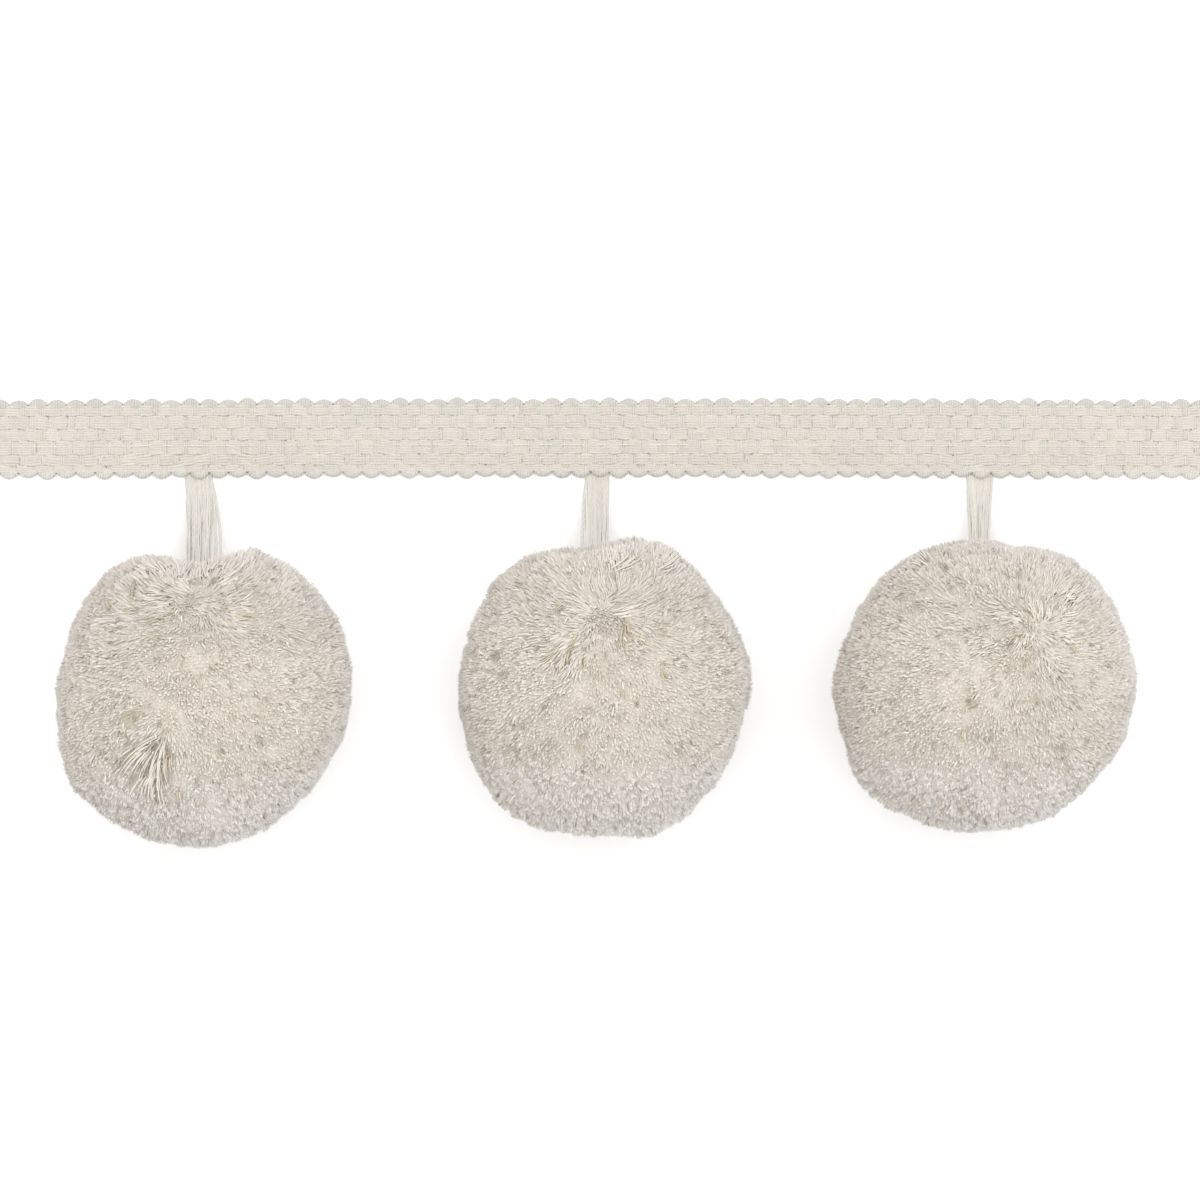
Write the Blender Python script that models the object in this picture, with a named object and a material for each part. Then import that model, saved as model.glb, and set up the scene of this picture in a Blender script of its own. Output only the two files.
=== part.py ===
"""Pom pom trim: a length of woven heading braid with scalloped edges, with three cut pile pompoms on yarn hangers.

The trim lies on its back. X runs along the braid, Y from the pompoms up to the braid, Z up from the surface.
The braid lies flat, the pompoms rest on their own flattened undersides, and the hangers rise between them.
"""

import math
import random
from dataclasses import dataclass

import bmesh
import bpy
from mathutils import Matrix, Vector

MM = 0.001
CLEARANCE = 0.3 * MM

# Heading braid
SCALLOP_PITCH = 4.8 * MM
SCALLOP_COUNT = 65
BRAID_LENGTH = SCALLOP_PITCH * SCALLOP_COUNT
BRAID_WIDTH = 19.9 * MM
BRAID_CENTRE_Y = 45.9 * MM
BRAID_BOW = 0.45 * MM
PLATE_THICKNESS = 1.6 * MM
SCALLOP_DEPTH = 1.15 * MM
SCALLOP_UNEVENNESS = 0.25 * MM
STEPS_PER_SCALLOP = 4
SCALLOP_ROUNDNESS = 0.6

# Woven rows, which stand a little above the scalloped edges
ROW_COUNT = 6
ROWS_WIDTH = 16.8 * MM
ROW_CREST = 2.15 * MM
ROW_VALLEY = 1.8 * MM
ROWS_UNDERSIDE = 0.6 * MM

# Hangers: parallel yarns from a stitched root under the braid to a tie against the pompom's core
YARN_COUNT = 9
YARN_RADIUS = 0.33 * MM
YARN_STEPS = 8
ROOT_THICKNESS = 0.8 * MM
ROOT_FRONT_Y = 37.6 * MM
ROOT_BACK_Y = 41.8 * MM
ROOT_SIDE_MARGIN = 0.8 * MM
YARN_SINK = 0.9 * MM
YARN_LIFT_OFF_Y = 35.8 * MM
LAYER_SPREAD = 0.5 * MM
TIE_RADIUS = 3.8 * MM
TIE_THICKNESS = 2.2 * MM
TIE_SIDES = 10
TIE_ELEVATION = math.radians(-20)
LIFT_PULL = 11.0 * MM
TIE_PULL = 10.0 * MM

# Pompoms: a dense middle with four-sided locks of pile
MIDDLE_HEIGHT = 34.0 * MM
CORE_RADIUS = 24.0 * MM
CORE_DIVISIONS = 3
LOCK_ROOT_RADIUS = 21.0 * MM
LOCK_SHOULDER = 0.9 * MM
LOCK_TIP = 0.6 * MM
LOCK_UNEVENNESS = 0.5 * MM
ROOT_FILL = 0.55
LOCK_FILL = (0.88, 0.94)
ROW_ANGLE = math.radians(22.5)
HANGER_AZIMUTH = math.radians(90)
GROOVE_HALF_ANGLE = math.radians(11)


@dataclass(frozen=True)
class Lobe:
    """A full place in the pile, or a thin one where the rise is negative."""

    azimuth_deg: float
    elevation_deg: float
    rise_mm: float
    spread_deg: float


@dataclass(frozen=True)
class LockRow:
    """One ring of locks round the pompom's upright axis."""

    elevation_deg: float
    locks: int
    turn_deg: float


@dataclass(frozen=True)
class Hanger:
    """The yarns that carry one pompom."""

    centre_x_mm: float
    braid_width_mm: float
    tie_width_mm: float
    tie_centre_x_mm: float
    loose_yarns: tuple


@dataclass(frozen=True)
class LooseYarn:
    """A slack yarn beside the bundle. Offsets are from the hanger's centre line."""

    braid_offset_mm: float
    tie_offset_mm: float
    bulge_mm: float


@dataclass(frozen=True)
class Pompom:
    """One pompom with its hanger."""

    number: int
    centre_x_mm: float
    centre_y_mm: float
    radius_mm: float
    lobes: tuple
    hanger: Hanger


LOCK_ROWS = (
    LockRow(elevation_deg=90.0, locks=1, turn_deg=20),
    LockRow(elevation_deg=67.5, locks=6, turn_deg=8),
    LockRow(elevation_deg=45.0, locks=11, turn_deg=0),
    LockRow(elevation_deg=22.5, locks=14, turn_deg=10),
    LockRow(elevation_deg=0.0, locks=15, turn_deg=12),
    LockRow(elevation_deg=-22.5, locks=14, turn_deg=0),
    LockRow(elevation_deg=-45.0, locks=11, turn_deg=16),
    LockRow(elevation_deg=-67.5, locks=6, turn_deg=30),
    LockRow(elevation_deg=-90.0, locks=1, turn_deg=40),
)

POMPOMS = (
    Pompom(
        number=1,
        centre_x_mm=-98.9,
        centre_y_mm=-19.25,
        radius_mm=37.2,
        lobes=(
            Lobe(azimuth_deg=60, elevation_deg=0, rise_mm=2.8, spread_deg=24),
            Lobe(azimuth_deg=124, elevation_deg=0, rise_mm=2.6, spread_deg=18),
            Lobe(azimuth_deg=92, elevation_deg=5, rise_mm=-7.5, spread_deg=11),
            Lobe(azimuth_deg=216, elevation_deg=0, rise_mm=1.9, spread_deg=18),
            Lobe(azimuth_deg=318, elevation_deg=10, rise_mm=-2.6, spread_deg=30),
            Lobe(azimuth_deg=200, elevation_deg=60, rise_mm=1.2, spread_deg=25),
        ),
        hanger=Hanger(
            centre_x_mm=-100.25,
            braid_width_mm=7.0,
            tie_width_mm=5.2,
            tie_centre_x_mm=-99.9,
            loose_yarns=(
                LooseYarn(braid_offset_mm=3.9, tie_offset_mm=3.1, bulge_mm=0.9),
                LooseYarn(braid_offset_mm=4.6, tie_offset_mm=3.4, bulge_mm=1.9),
            ),
        ),
    ),
    Pompom(
        number=2,
        centre_x_mm=1.25,
        centre_y_mm=-16.5,
        radius_mm=36.4,
        lobes=(
            Lobe(azimuth_deg=69, elevation_deg=0, rise_mm=2.4, spread_deg=18),
            Lobe(azimuth_deg=128, elevation_deg=0, rise_mm=2.3, spread_deg=18),
            Lobe(azimuth_deg=97, elevation_deg=5, rise_mm=-2.6, spread_deg=10),
            Lobe(azimuth_deg=231, elevation_deg=0, rise_mm=3.1, spread_deg=24),
            Lobe(azimuth_deg=292, elevation_deg=0, rise_mm=2.4, spread_deg=16),
            Lobe(azimuth_deg=30, elevation_deg=65, rise_mm=1.0, spread_deg=25),
        ),
        hanger=Hanger(
            centre_x_mm=-0.75,
            braid_width_mm=6.2,
            tie_width_mm=4.9,
            tie_centre_x_mm=-0.9,
            loose_yarns=(LooseYarn(braid_offset_mm=-3.7, tie_offset_mm=-3.1, bulge_mm=-1.4),),
        ),
    ),
    Pompom(
        number=3,
        centre_x_mm=96.0,
        centre_y_mm=-16.0,
        radius_mm=36.9,
        lobes=(
            Lobe(azimuth_deg=43, elevation_deg=0, rise_mm=2.1, spread_deg=20),
            Lobe(azimuth_deg=78, elevation_deg=5, rise_mm=-1.9, spread_deg=11),
            Lobe(azimuth_deg=218, elevation_deg=0, rise_mm=3.2, spread_deg=18),
            Lobe(azimuth_deg=182, elevation_deg=0, rise_mm=1.6, spread_deg=13),
            Lobe(azimuth_deg=280, elevation_deg=0, rise_mm=-1.0, spread_deg=20),
            Lobe(azimuth_deg=110, elevation_deg=62, rise_mm=1.1, spread_deg=25),
        ),
        hanger=Hanger(
            centre_x_mm=94.9,
            braid_width_mm=6.7,
            tie_width_mm=4.3,
            tie_centre_x_mm=94.6,
            loose_yarns=(),
        ),
    ),
)


def clear_scene():
    """Removes the objects that a new Blender file starts with."""
    for item in list(bpy.data.objects):
        bpy.data.objects.remove(item, do_unlink=True)


def new_collection(name):
    """Returns a new collection linked to the scene."""
    collection = bpy.data.collections.new(name)
    bpy.context.scene.collection.children.link(collection)
    return collection


def yarn_material(name, colour, roughness):
    """Returns a matt cotton finish."""
    material = bpy.data.materials.new(name)
    material.use_nodes = True
    shader = material.node_tree.nodes["Principled BSDF"]
    shader.inputs["Base Color"].default_value = (*colour, 1.0)
    shader.inputs["Roughness"].default_value = roughness
    shader.inputs["Metallic"].default_value = 0.0
    return material


def object_from_bmesh(name, mesh_data, collection):
    """Writes a bmesh into a new object and frees it."""
    bmesh.ops.recalc_face_normals(mesh_data, faces=mesh_data.faces)
    mesh = bpy.data.meshes.new(name)
    mesh_data.to_mesh(mesh)
    mesh_data.free()
    item = bpy.data.objects.new(name, mesh)
    collection.objects.link(item)
    return item


def object_from_curve(curve_object, name, collection):
    """Turns a curve object into a closed mesh object in the same place and removes the curve."""
    bpy.context.view_layer.update()
    graph = bpy.context.evaluated_depsgraph_get()
    mesh = bpy.data.meshes.new_from_object(curve_object.evaluated_get(graph))
    mesh.name = name
    mesh_data = bmesh.new()
    mesh_data.from_mesh(mesh)
    bmesh.ops.remove_doubles(mesh_data, verts=mesh_data.verts, dist=0.001 * MM)
    bmesh.ops.recalc_face_normals(mesh_data, faces=mesh_data.faces)
    mesh_data.to_mesh(mesh)
    mesh_data.free()
    item = bpy.data.objects.new(name, mesh)
    item.matrix_world = curve_object.matrix_world.copy()
    collection.objects.link(item)
    bpy.data.objects.remove(curve_object, do_unlink=True)
    return item


def combine(target, tool, operation):
    """Adds a Boolean with an object that only serves as its tool."""
    tool.hide_render = True
    tool.display_type = "WIRE"
    modifier = target.modifiers.new(f"{operation.lower()}_{tool.name}", "BOOLEAN")
    modifier.operation = operation
    modifier.solver = "EXACT"
    modifier.object = tool


def flat_curve(name, points, half_depth, collection):
    """Returns a flat closed outline, extruded by half_depth to each side."""
    curve = bpy.data.curves.new(name, "CURVE")
    curve.dimensions = "2D"
    curve.fill_mode = "BOTH"
    curve.extrude = half_depth
    spline = curve.splines.new("POLY")
    spline.points.add(len(points) - 1)
    for point, (x, y) in zip(spline.points, points):
        point.co = (x, y, 0.0, 1.0)
    spline.use_cyclic_u = True
    item = bpy.data.objects.new(name, curve)
    collection.objects.link(item)
    return item


def box_between(name, low, high, collection):
    """Returns a box object between two corners."""
    middle = (low + high) / 2
    size = high - low
    mesh_data = bmesh.new()
    placed = Matrix.Translation(middle) @ Matrix.Diagonal((*size, 1.0))
    bmesh.ops.create_cube(mesh_data, size=1.0, matrix=placed)
    return object_from_bmesh(name, mesh_data, collection)


def braid_middle(x):
    """Returns the y of the braid's centre line, which bows a little towards its upper edge."""
    return BRAID_CENTRE_Y + BRAID_BOW * (1.0 - (2.0 * x / BRAID_LENGTH) ** 2)


def scallop_edge(side, row_start):
    """Returns the points of one scalloped edge from left to right. side is 1 for the upper edge and -1 for the lower."""
    points = []
    for index in range(SCALLOP_COUNT):
        unevenness = SCALLOP_UNEVENNESS * math.sin(2.3 * index + 1.1 * side)
        for step in range(STEPS_PER_SCALLOP):
            share = step / STEPS_PER_SCALLOP
            x = (index + share) * SCALLOP_PITCH - BRAID_LENGTH / 2
            bulge = math.sin(math.pi * ((share + row_start) % 1.0)) ** SCALLOP_ROUNDNESS
            reach = BRAID_WIDTH / 2 - SCALLOP_DEPTH + (SCALLOP_DEPTH + unevenness) * bulge
            points.append((x, braid_middle(x) + side * reach))
    last = BRAID_LENGTH / 2
    points.append((last, braid_middle(last) + side * (BRAID_WIDTH / 2 - SCALLOP_DEPTH)))
    return points


def woven_rows_profile():
    """Returns the braid's cross-section: a low block with one rounded rib for each woven row."""
    points = [(-ROWS_WIDTH / 2, ROWS_UNDERSIDE)]
    row_width = ROWS_WIDTH / ROW_COUNT
    for row in range(ROW_COUNT):
        start = -ROWS_WIDTH / 2 + row * row_width
        points.append((start, ROW_VALLEY))
        points.append((start + row_width * 0.3, ROW_CREST))
        points.append((start + row_width * 0.7, ROW_CREST))
    points.append((ROWS_WIDTH / 2, ROW_VALLEY))
    points.append((ROWS_WIDTH / 2, ROWS_UNDERSIDE))
    return points


def hanger_half_root(hanger):
    """Returns how far the root reaches to each side of the hanger's centre line."""
    offsets = [hanger.braid_width_mm / 2] + [abs(yarn.braid_offset_mm) for yarn in hanger.loose_yarns]
    return max(offsets) * MM + ROOT_SIDE_MARGIN


def make_braid(material, collection, tools):
    """Makes the heading braid: its scalloped plate, its raised woven rows and the pockets over the hangers' roots."""
    lower = scallop_edge(-1, row_start=0.0)
    upper = scallop_edge(1, row_start=0.5)
    outline = lower + upper[::-1]
    plate_curve = flat_curve("heading_braid_outline", outline, PLATE_THICKNESS / 2, collection)
    plate_curve.location.z = PLATE_THICKNESS / 2
    braid = object_from_curve(plate_curve, "heading_braid", collection)
    braid.data.materials.clear()
    braid.data.materials.append(material)

    half_rows = BRAID_LENGTH / 2 - CLEARANCE
    rows_curve = flat_curve("woven_rows_outline", woven_rows_profile(), half_rows, tools)
    # The profile's own x becomes the trim's y, its y becomes z, and it is extruded along x
    upright = Matrix(((0, 0, 1, 0), (1, 0, 0, BRAID_CENTRE_Y), (0, 1, 0, 0), (0, 0, 0, 1)))
    rows_curve.matrix_world = upright
    rows = object_from_curve(rows_curve, "woven_rows", tools)
    combine(braid, rows, "UNION")

    for pompom in POMPOMS:
        hanger = pompom.hanger
        half_width = hanger_half_root(hanger) + CLEARANCE
        centre = hanger.centre_x_mm * MM
        low = Vector((centre - half_width, BRAID_CENTRE_Y - BRAID_WIDTH, -PLATE_THICKNESS))
        high = Vector((centre + half_width, ROOT_BACK_Y + CLEARANCE, ROOT_THICKNESS + CLEARANCE))
        pocket = box_between(f"root_pocket_{pompom.number}", low, high, tools)
        combine(braid, pocket, "DIFFERENCE")
    return braid


def bezier(start, start_handle, end_handle, end, share):
    """Returns the point of a cubic curve at share, from 0 to 1."""
    rest = 1.0 - share
    return (
        start * rest**3
        + start_handle * (3 * rest**2 * share)
        + end_handle * (3 * rest * share**2)
        + end * share**3
    )


def pompom_middle(pompom):
    """Returns the pompom's middle."""
    return Vector((pompom.centre_x_mm * MM, pompom.centre_y_mm * MM, MIDDLE_HEIGHT))


def tie_frame(pompom):
    """Returns the middle of the tie's inner face and the direction that points from the core out along the yarns."""
    outward = Vector((0.0, math.cos(TIE_ELEVATION), math.sin(TIE_ELEVATION)))
    seat = pompom_middle(pompom) + outward * (CORE_RADIUS + CLEARANCE)
    return seat, outward


def yarn_route(pompom, braid_offset, tie_offset, bulge, layer):
    """Returns the points of one yarn, from inside the root under the braid to inside the tie."""
    hanger = pompom.hanger
    seat, outward = tie_frame(pompom)
    root_z = ROOT_THICKNESS / 2
    braid_x = hanger.centre_x_mm * MM + braid_offset
    tie_x = hanger.tie_centre_x_mm * MM + tie_offset
    lift_off = Vector((0.0, YARN_LIFT_OFF_Y, root_z))
    lift_handle = lift_off + Vector((0.0, -LIFT_PULL, 0.0))
    tie_end = seat + outward * (TIE_THICKNESS - YARN_SINK)
    tie_handle = tie_end + outward * TIE_PULL
    points = [Vector((braid_x, ROOT_FRONT_Y + YARN_SINK, root_z))]
    across = Vector((0.0, -outward.z, outward.y))
    for step in range(YARN_STEPS + 1):
        share = step / YARN_STEPS
        place = bezier(lift_off, lift_handle, tie_handle, tie_end, share)
        place += across * (layer * LAYER_SPREAD * share)
        place.x = braid_x + (tie_x - braid_x) * share + bulge * math.sin(math.pi * share)
        points.append(place)
    return points


def make_hanger(pompom, material, collection, tools):
    """Makes one hanger: its flat stitched root, its yarns and its tie, fused into one piece."""
    hanger = pompom.hanger
    name = f"hanger_{pompom.number}"
    centre = hanger.centre_x_mm * MM
    half_width = hanger_half_root(hanger)
    low = Vector((centre - half_width, ROOT_FRONT_Y, 0.0))
    high = Vector((centre + half_width, ROOT_BACK_Y, ROOT_THICKNESS))
    root = box_between(name, low, high, collection)
    root.data.materials.append(material)

    curve = bpy.data.curves.new(f"{name}_yarns", "CURVE")
    curve.dimensions = "3D"
    curve.bevel_depth = YARN_RADIUS
    curve.bevel_resolution = 0
    curve.use_fill_caps = True
    spread = (YARN_COUNT - 1) / 2
    braid_pitch = (hanger.braid_width_mm * MM - 2 * YARN_RADIUS) / (YARN_COUNT - 1)
    tie_pitch = (hanger.tie_width_mm * MM - 2 * YARN_RADIUS) / (YARN_COUNT - 1)
    routes = []
    for index in range(YARN_COUNT):
        layer = 1 if index % 2 == 0 else -1
        side = index - spread
        routes.append(yarn_route(pompom, side * braid_pitch, side * tie_pitch, 0.0, layer))
    for yarn in hanger.loose_yarns:
        offsets = (yarn.braid_offset_mm * MM, yarn.tie_offset_mm * MM, yarn.bulge_mm * MM)
        routes.append(yarn_route(pompom, *offsets, layer=0))
    for route in routes:
        spline = curve.splines.new("POLY")
        spline.points.add(len(route) - 1)
        for point, place in zip(spline.points, route):
            point.co = (*place, 1.0)
    yarn_curve = bpy.data.objects.new(f"{name}_yarns", curve)
    tools.objects.link(yarn_curve)
    yarns = object_from_curve(yarn_curve, f"{name}_yarn_solid", tools)

    seat, outward = tie_frame(pompom)
    seat.x = hanger.tie_centre_x_mm * MM
    turned = outward.to_track_quat("Z", "Y").to_matrix().to_4x4()
    placed = Matrix.Translation(seat + outward * (TIE_THICKNESS / 2)) @ turned
    tie_data = bmesh.new()
    bmesh.ops.create_cone(
        tie_data,
        cap_ends=True,
        segments=TIE_SIDES,
        radius1=TIE_RADIUS,
        radius2=TIE_RADIUS,
        depth=TIE_THICKNESS,
        matrix=placed,
    )
    tie = object_from_bmesh(f"{name}_tie", tie_data, tools)
    combine(root, yarns, "UNION")
    combine(root, tie, "UNION")
    return root


def direction(azimuth, elevation):
    """Returns the unit vector at an azimuth and elevation, in radians."""
    level = math.cos(elevation)
    return Vector((level * math.cos(azimuth), level * math.sin(azimuth), math.sin(elevation)))


def pile_reach(pompom, towards):
    """Returns how far the pile reaches from the middle in one direction."""
    reach = pompom.radius_mm
    for lobe in pompom.lobes:
        aim = direction(math.radians(lobe.azimuth_deg), math.radians(lobe.elevation_deg))
        apart = math.degrees(aim.angle(towards))
        reach += lobe.rise_mm * math.exp(-((apart / lobe.spread_deg) ** 2))
    return reach * MM


def on_surface(radius, towards):
    """Returns the offset at radius, shortened where it would pass below the surface that the trim lies on."""
    if towards.z < 0.0:
        radius = min(radius, MIDDLE_HEIGHT / -towards.z)
    return towards * radius


def in_groove(azimuth, elevation):
    """Tells whether a lock would stand where the hanger runs in to the core."""
    apart = abs((azimuth - HANGER_AZIMUTH + math.pi) % (2 * math.pi) - math.pi)
    return apart < GROOVE_HALF_ANGLE and abs(elevation - TIE_ELEVATION) < ROW_ANGLE / 2


def corner_direction(azimuth, elevation, half_width, across, up):
    """Returns the direction of a lock's corner. across and up run from -1 to 1 over the lock's own field."""
    if abs(elevation) < math.pi / 2 - ROW_ANGLE / 2:
        return direction(azimuth + across * half_width, elevation + up * ROW_ANGLE / 2)
    reach = max(abs(across), abs(up)) * ROW_ANGLE / 2
    return direction(azimuth + math.atan2(up, across), elevation - math.copysign(reach, elevation))


def add_lock(mesh_data, pompom, azimuth, elevation, half_width, fill, growth):
    """Adds one four-sided lock, narrow at its root in the core and blunt at its cut end."""
    middle = pompom_middle(pompom)
    made = bmesh.ops.create_cube(mesh_data, size=2.0)["verts"]
    outer = {vert for vert in made if vert.co.z > 0.0}
    for vert in made:
        share = fill if vert in outer else ROOT_FILL
        towards = corner_direction(azimuth, elevation, half_width, vert.co.x * share, vert.co.y * share)
        radius = LOCK_ROOT_RADIUS
        if vert in outer:
            radius = pile_reach(pompom, towards) + growth - LOCK_SHOULDER
        vert.co = middle + on_surface(radius, towards)
    end_face = next(face for face in mesh_data.faces if set(face.verts) == outer)
    tip = bmesh.ops.poke(mesh_data, faces=[end_face])["verts"][0]
    towards = direction(azimuth, elevation)
    tip.co = middle + on_surface(pile_reach(pompom, towards) + growth + LOCK_TIP, towards)
    if all(vert.co.z < CLEARANCE for vert in outer):
        tip.co.z = sum(vert.co.z for vert in outer) / len(outer)


def make_pompom(pompom, material, collection, tools):
    """Makes one pompom: its core with the locks fused into it."""
    name = f"pompom_{pompom.number}"
    core_data = bmesh.new()
    placed = Matrix.Translation(pompom_middle(pompom))
    bmesh.ops.create_icosphere(core_data, subdivisions=CORE_DIVISIONS, radius=CORE_RADIUS, matrix=placed)
    core = object_from_bmesh(name, core_data, collection)
    core.data.materials.append(material)

    chance = random.Random(pompom.number)
    locks_data = bmesh.new()
    for row in LOCK_ROWS:
        elevation = math.radians(row.elevation_deg)
        half_width = math.pi / row.locks
        for index in range(row.locks):
            azimuth = HANGER_AZIMUTH + math.radians(row.turn_deg) + 2 * half_width * index
            fill = chance.uniform(*LOCK_FILL)
            growth = chance.uniform(-LOCK_UNEVENNESS, LOCK_UNEVENNESS)
            if not in_groove(azimuth, elevation):
                add_lock(locks_data, pompom, azimuth, elevation, half_width, fill, growth)
    locks = object_from_bmesh(f"{name}_locks", locks_data, tools)
    combine(core, locks, "UNION")
    return core


def main():
    """Builds the whole trim."""
    clear_scene()
    trim = new_collection("pom_pom_trim")
    tools = new_collection("shaping_tools")
    braid_cotton = yarn_material("braid_cotton", colour=(0.76, 0.72, 0.65), roughness=0.9)
    hanger_yarn = yarn_material("hanger_yarn", colour=(0.79, 0.77, 0.71), roughness=0.9)
    pile_yarn = yarn_material("pile_yarn", colour=(0.70, 0.63, 0.55), roughness=0.95)
    make_braid(braid_cotton, trim, tools)
    for pompom in POMPOMS:
        make_hanger(pompom, hanger_yarn, trim, tools)
        make_pompom(pompom, pile_yarn, trim, tools)


main()
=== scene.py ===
"""Looks of a pom pom trim that lies on its back on a pale surface, seen from straight above.

The trim is a woven heading braid with scalloped edges, three bundles of hanging yarn and three cut pile
pompoms. Sizes in the classes are in millimetres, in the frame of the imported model, and meshes are written in
metres.
"""

from __future__ import annotations

import logging
import math
from dataclasses import dataclass, field
from enum import Enum

import bmesh
import bpy
import numpy as np
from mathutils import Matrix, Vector

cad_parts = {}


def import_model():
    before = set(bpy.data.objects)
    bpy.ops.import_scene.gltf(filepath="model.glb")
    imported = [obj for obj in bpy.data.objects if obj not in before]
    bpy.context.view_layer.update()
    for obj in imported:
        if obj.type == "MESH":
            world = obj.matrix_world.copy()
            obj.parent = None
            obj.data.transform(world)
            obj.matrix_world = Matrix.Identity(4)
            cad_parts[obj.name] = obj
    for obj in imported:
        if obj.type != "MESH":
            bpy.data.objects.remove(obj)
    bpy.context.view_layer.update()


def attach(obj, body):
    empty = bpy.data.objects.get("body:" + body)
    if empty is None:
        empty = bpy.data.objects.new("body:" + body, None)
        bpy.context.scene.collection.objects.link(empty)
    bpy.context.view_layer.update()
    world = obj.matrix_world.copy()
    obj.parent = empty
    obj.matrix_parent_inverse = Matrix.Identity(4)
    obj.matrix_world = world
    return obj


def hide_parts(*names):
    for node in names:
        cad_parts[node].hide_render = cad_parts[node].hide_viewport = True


LOG = logging.getLogger("pom_pom_trim")
MM = 0.001
FULL_TURN = 2 * math.pi
GOLDEN_TURN = math.pi * (3.0 - math.sqrt(5.0))
BODY = "root"
COLOUR_LAYER = "yarn_colour"
PATH_LAYER = "yarn_path"
MATT_SPECULAR = 0.15

Colour = tuple[float, float, float]


class Cotton(Enum):
    """Dye of the cotton, as linear colours, with some colours that are painted shade or painted light."""

    CREAM = (0.85, 0.782, 0.70)
    PALE = (0.93, 0.89, 0.80)
    # Painted shade of the pile: cooler grey at the rims and browner on the left side.
    COOL_RIM_SHADE = (0.80, 0.77, 0.73)
    DUSK_SIDE_SHADE = (0.72, 0.665, 0.60)
    PUFF = (0.91, 0.87, 0.815)
    # Painted shade in partings, with a little random olive tone in the pile.
    OLIVE_TONE_AND_PAINTED_SHADE = (0.58, 0.50, 0.35)
    # Painted shade of partings and of flecks between yarns.
    SHADED = (0.33, 0.27, 0.20)
    BRAID = (0.712, 0.677, 0.617)
    BRAID_ROSE = (0.735, 0.665, 0.605)
    BRAID_WEFT = (0.70, 0.668, 0.607)
    # Painted shade of the pits between rows.
    BRAID_PIT_SHADE = (0.45, 0.41, 0.35)
    # Two copies of the same selvedge yarn: the lower is painted lighter against its shadow, the upper painted
    # darker as shade.
    SELVEDGE_LOWER_LIGHTENED = (0.72, 0.70, 0.65)
    SELVEDGE_UPPER_SHADED = (0.635, 0.612, 0.568)
    SKEIN = (0.72, 0.69, 0.635)

    def array(self) -> np.ndarray:
        """Returns the colour as an array."""
        return np.array(self.value)


@dataclass(frozen=True)
class Lobe:
    """A full place in the pile, or a thin one where the rise is negative."""

    azimuth_deg: float
    elevation_deg: float
    rise_mm: float
    spread_deg: float


@dataclass(frozen=True)
class Eye:
    """A place that the pile leans away from, given from the pompom's middle as seen from above."""

    across: float
    up: float
    lean_deg: float
    reach: float


@dataclass(frozen=True)
class Streak:
    """A few combed strands or a short parting, given from the pompom's middle as seen from above.

    Turn is its direction and fan the angle that its strands spread over, both in degrees. Pale streaks are
    combed strands; shaded and olive ones are dark strands that paint the shade in a parting.
    """

    tone: Cotton
    across: float
    up: float
    turn: float
    length: float
    strands: int = 3
    fan: float = 10.0
    width: float = 0.5


@dataclass(frozen=True)
class LooseYarn:
    """A slack yarn beside a hanger's bundle. Offsets are from the bundle's centre line."""

    braid_offset: float
    tie_offset: float
    bulge: float


def unit_direction(azimuth_deg: float, elevation_deg: float) -> np.ndarray:
    """Returns the unit vector at an azimuth and elevation.

    Args:
        azimuth_deg: angle from +X towards +Y.
        elevation_deg: angle above the level plane.

    Returns:
        The vector as an array of three.
    """
    azimuth, elevation = math.radians(azimuth_deg), math.radians(elevation_deg)
    level = math.cos(elevation)
    return np.array([level * math.cos(azimuth), level * math.sin(azimuth), math.sin(elevation)])


def unit(vectors: np.ndarray) -> np.ndarray:
    """Returns vectors scaled to length one along their last axis."""
    length = np.linalg.norm(vectors, axis=-1, keepdims=True)
    return vectors / np.maximum(length, 1e-9)


def mix(first: np.ndarray, second: np.ndarray, share: np.ndarray) -> np.ndarray:
    """Returns first blended towards second by a share for each row."""
    share = np.asarray(share)[..., None]
    return first * (1.0 - share) + second * share


def smooth_step(low: float, high: float, value: np.ndarray) -> np.ndarray:
    """Returns 0 below low and 1 above high, with a soft rise between."""
    share = np.clip((value - low) / (high - low), 0.0, 1.0)
    return share * share * (3.0 - 2.0 * share)


class SmoothField:
    """A soft random field in space, made of plane waves in random directions."""

    def __init__(self, seed: int, wavelength: float, waves: int = 18) -> None:
        """Draws the waves.

        Args:
            seed: seed of the draw.
            wavelength: typical length of one wave.
            waves: number of waves.
        """
        chance = np.random.default_rng(seed)
        turn = unit(chance.normal(size=(waves, 3)))
        self.numbers = turn * (FULL_TURN / wavelength) * chance.uniform(0.6, 1.5, (waves, 1))
        self.phase = chance.uniform(0, FULL_TURN, waves)
        self.scale = math.sqrt(2.0 / waves)

    def at(self, points: np.ndarray) -> np.ndarray:
        """Returns the field at each point, mostly between -1.5 and 1.5."""
        return np.sin(points @ self.numbers.T + self.phase).sum(axis=-1) * self.scale


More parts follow.
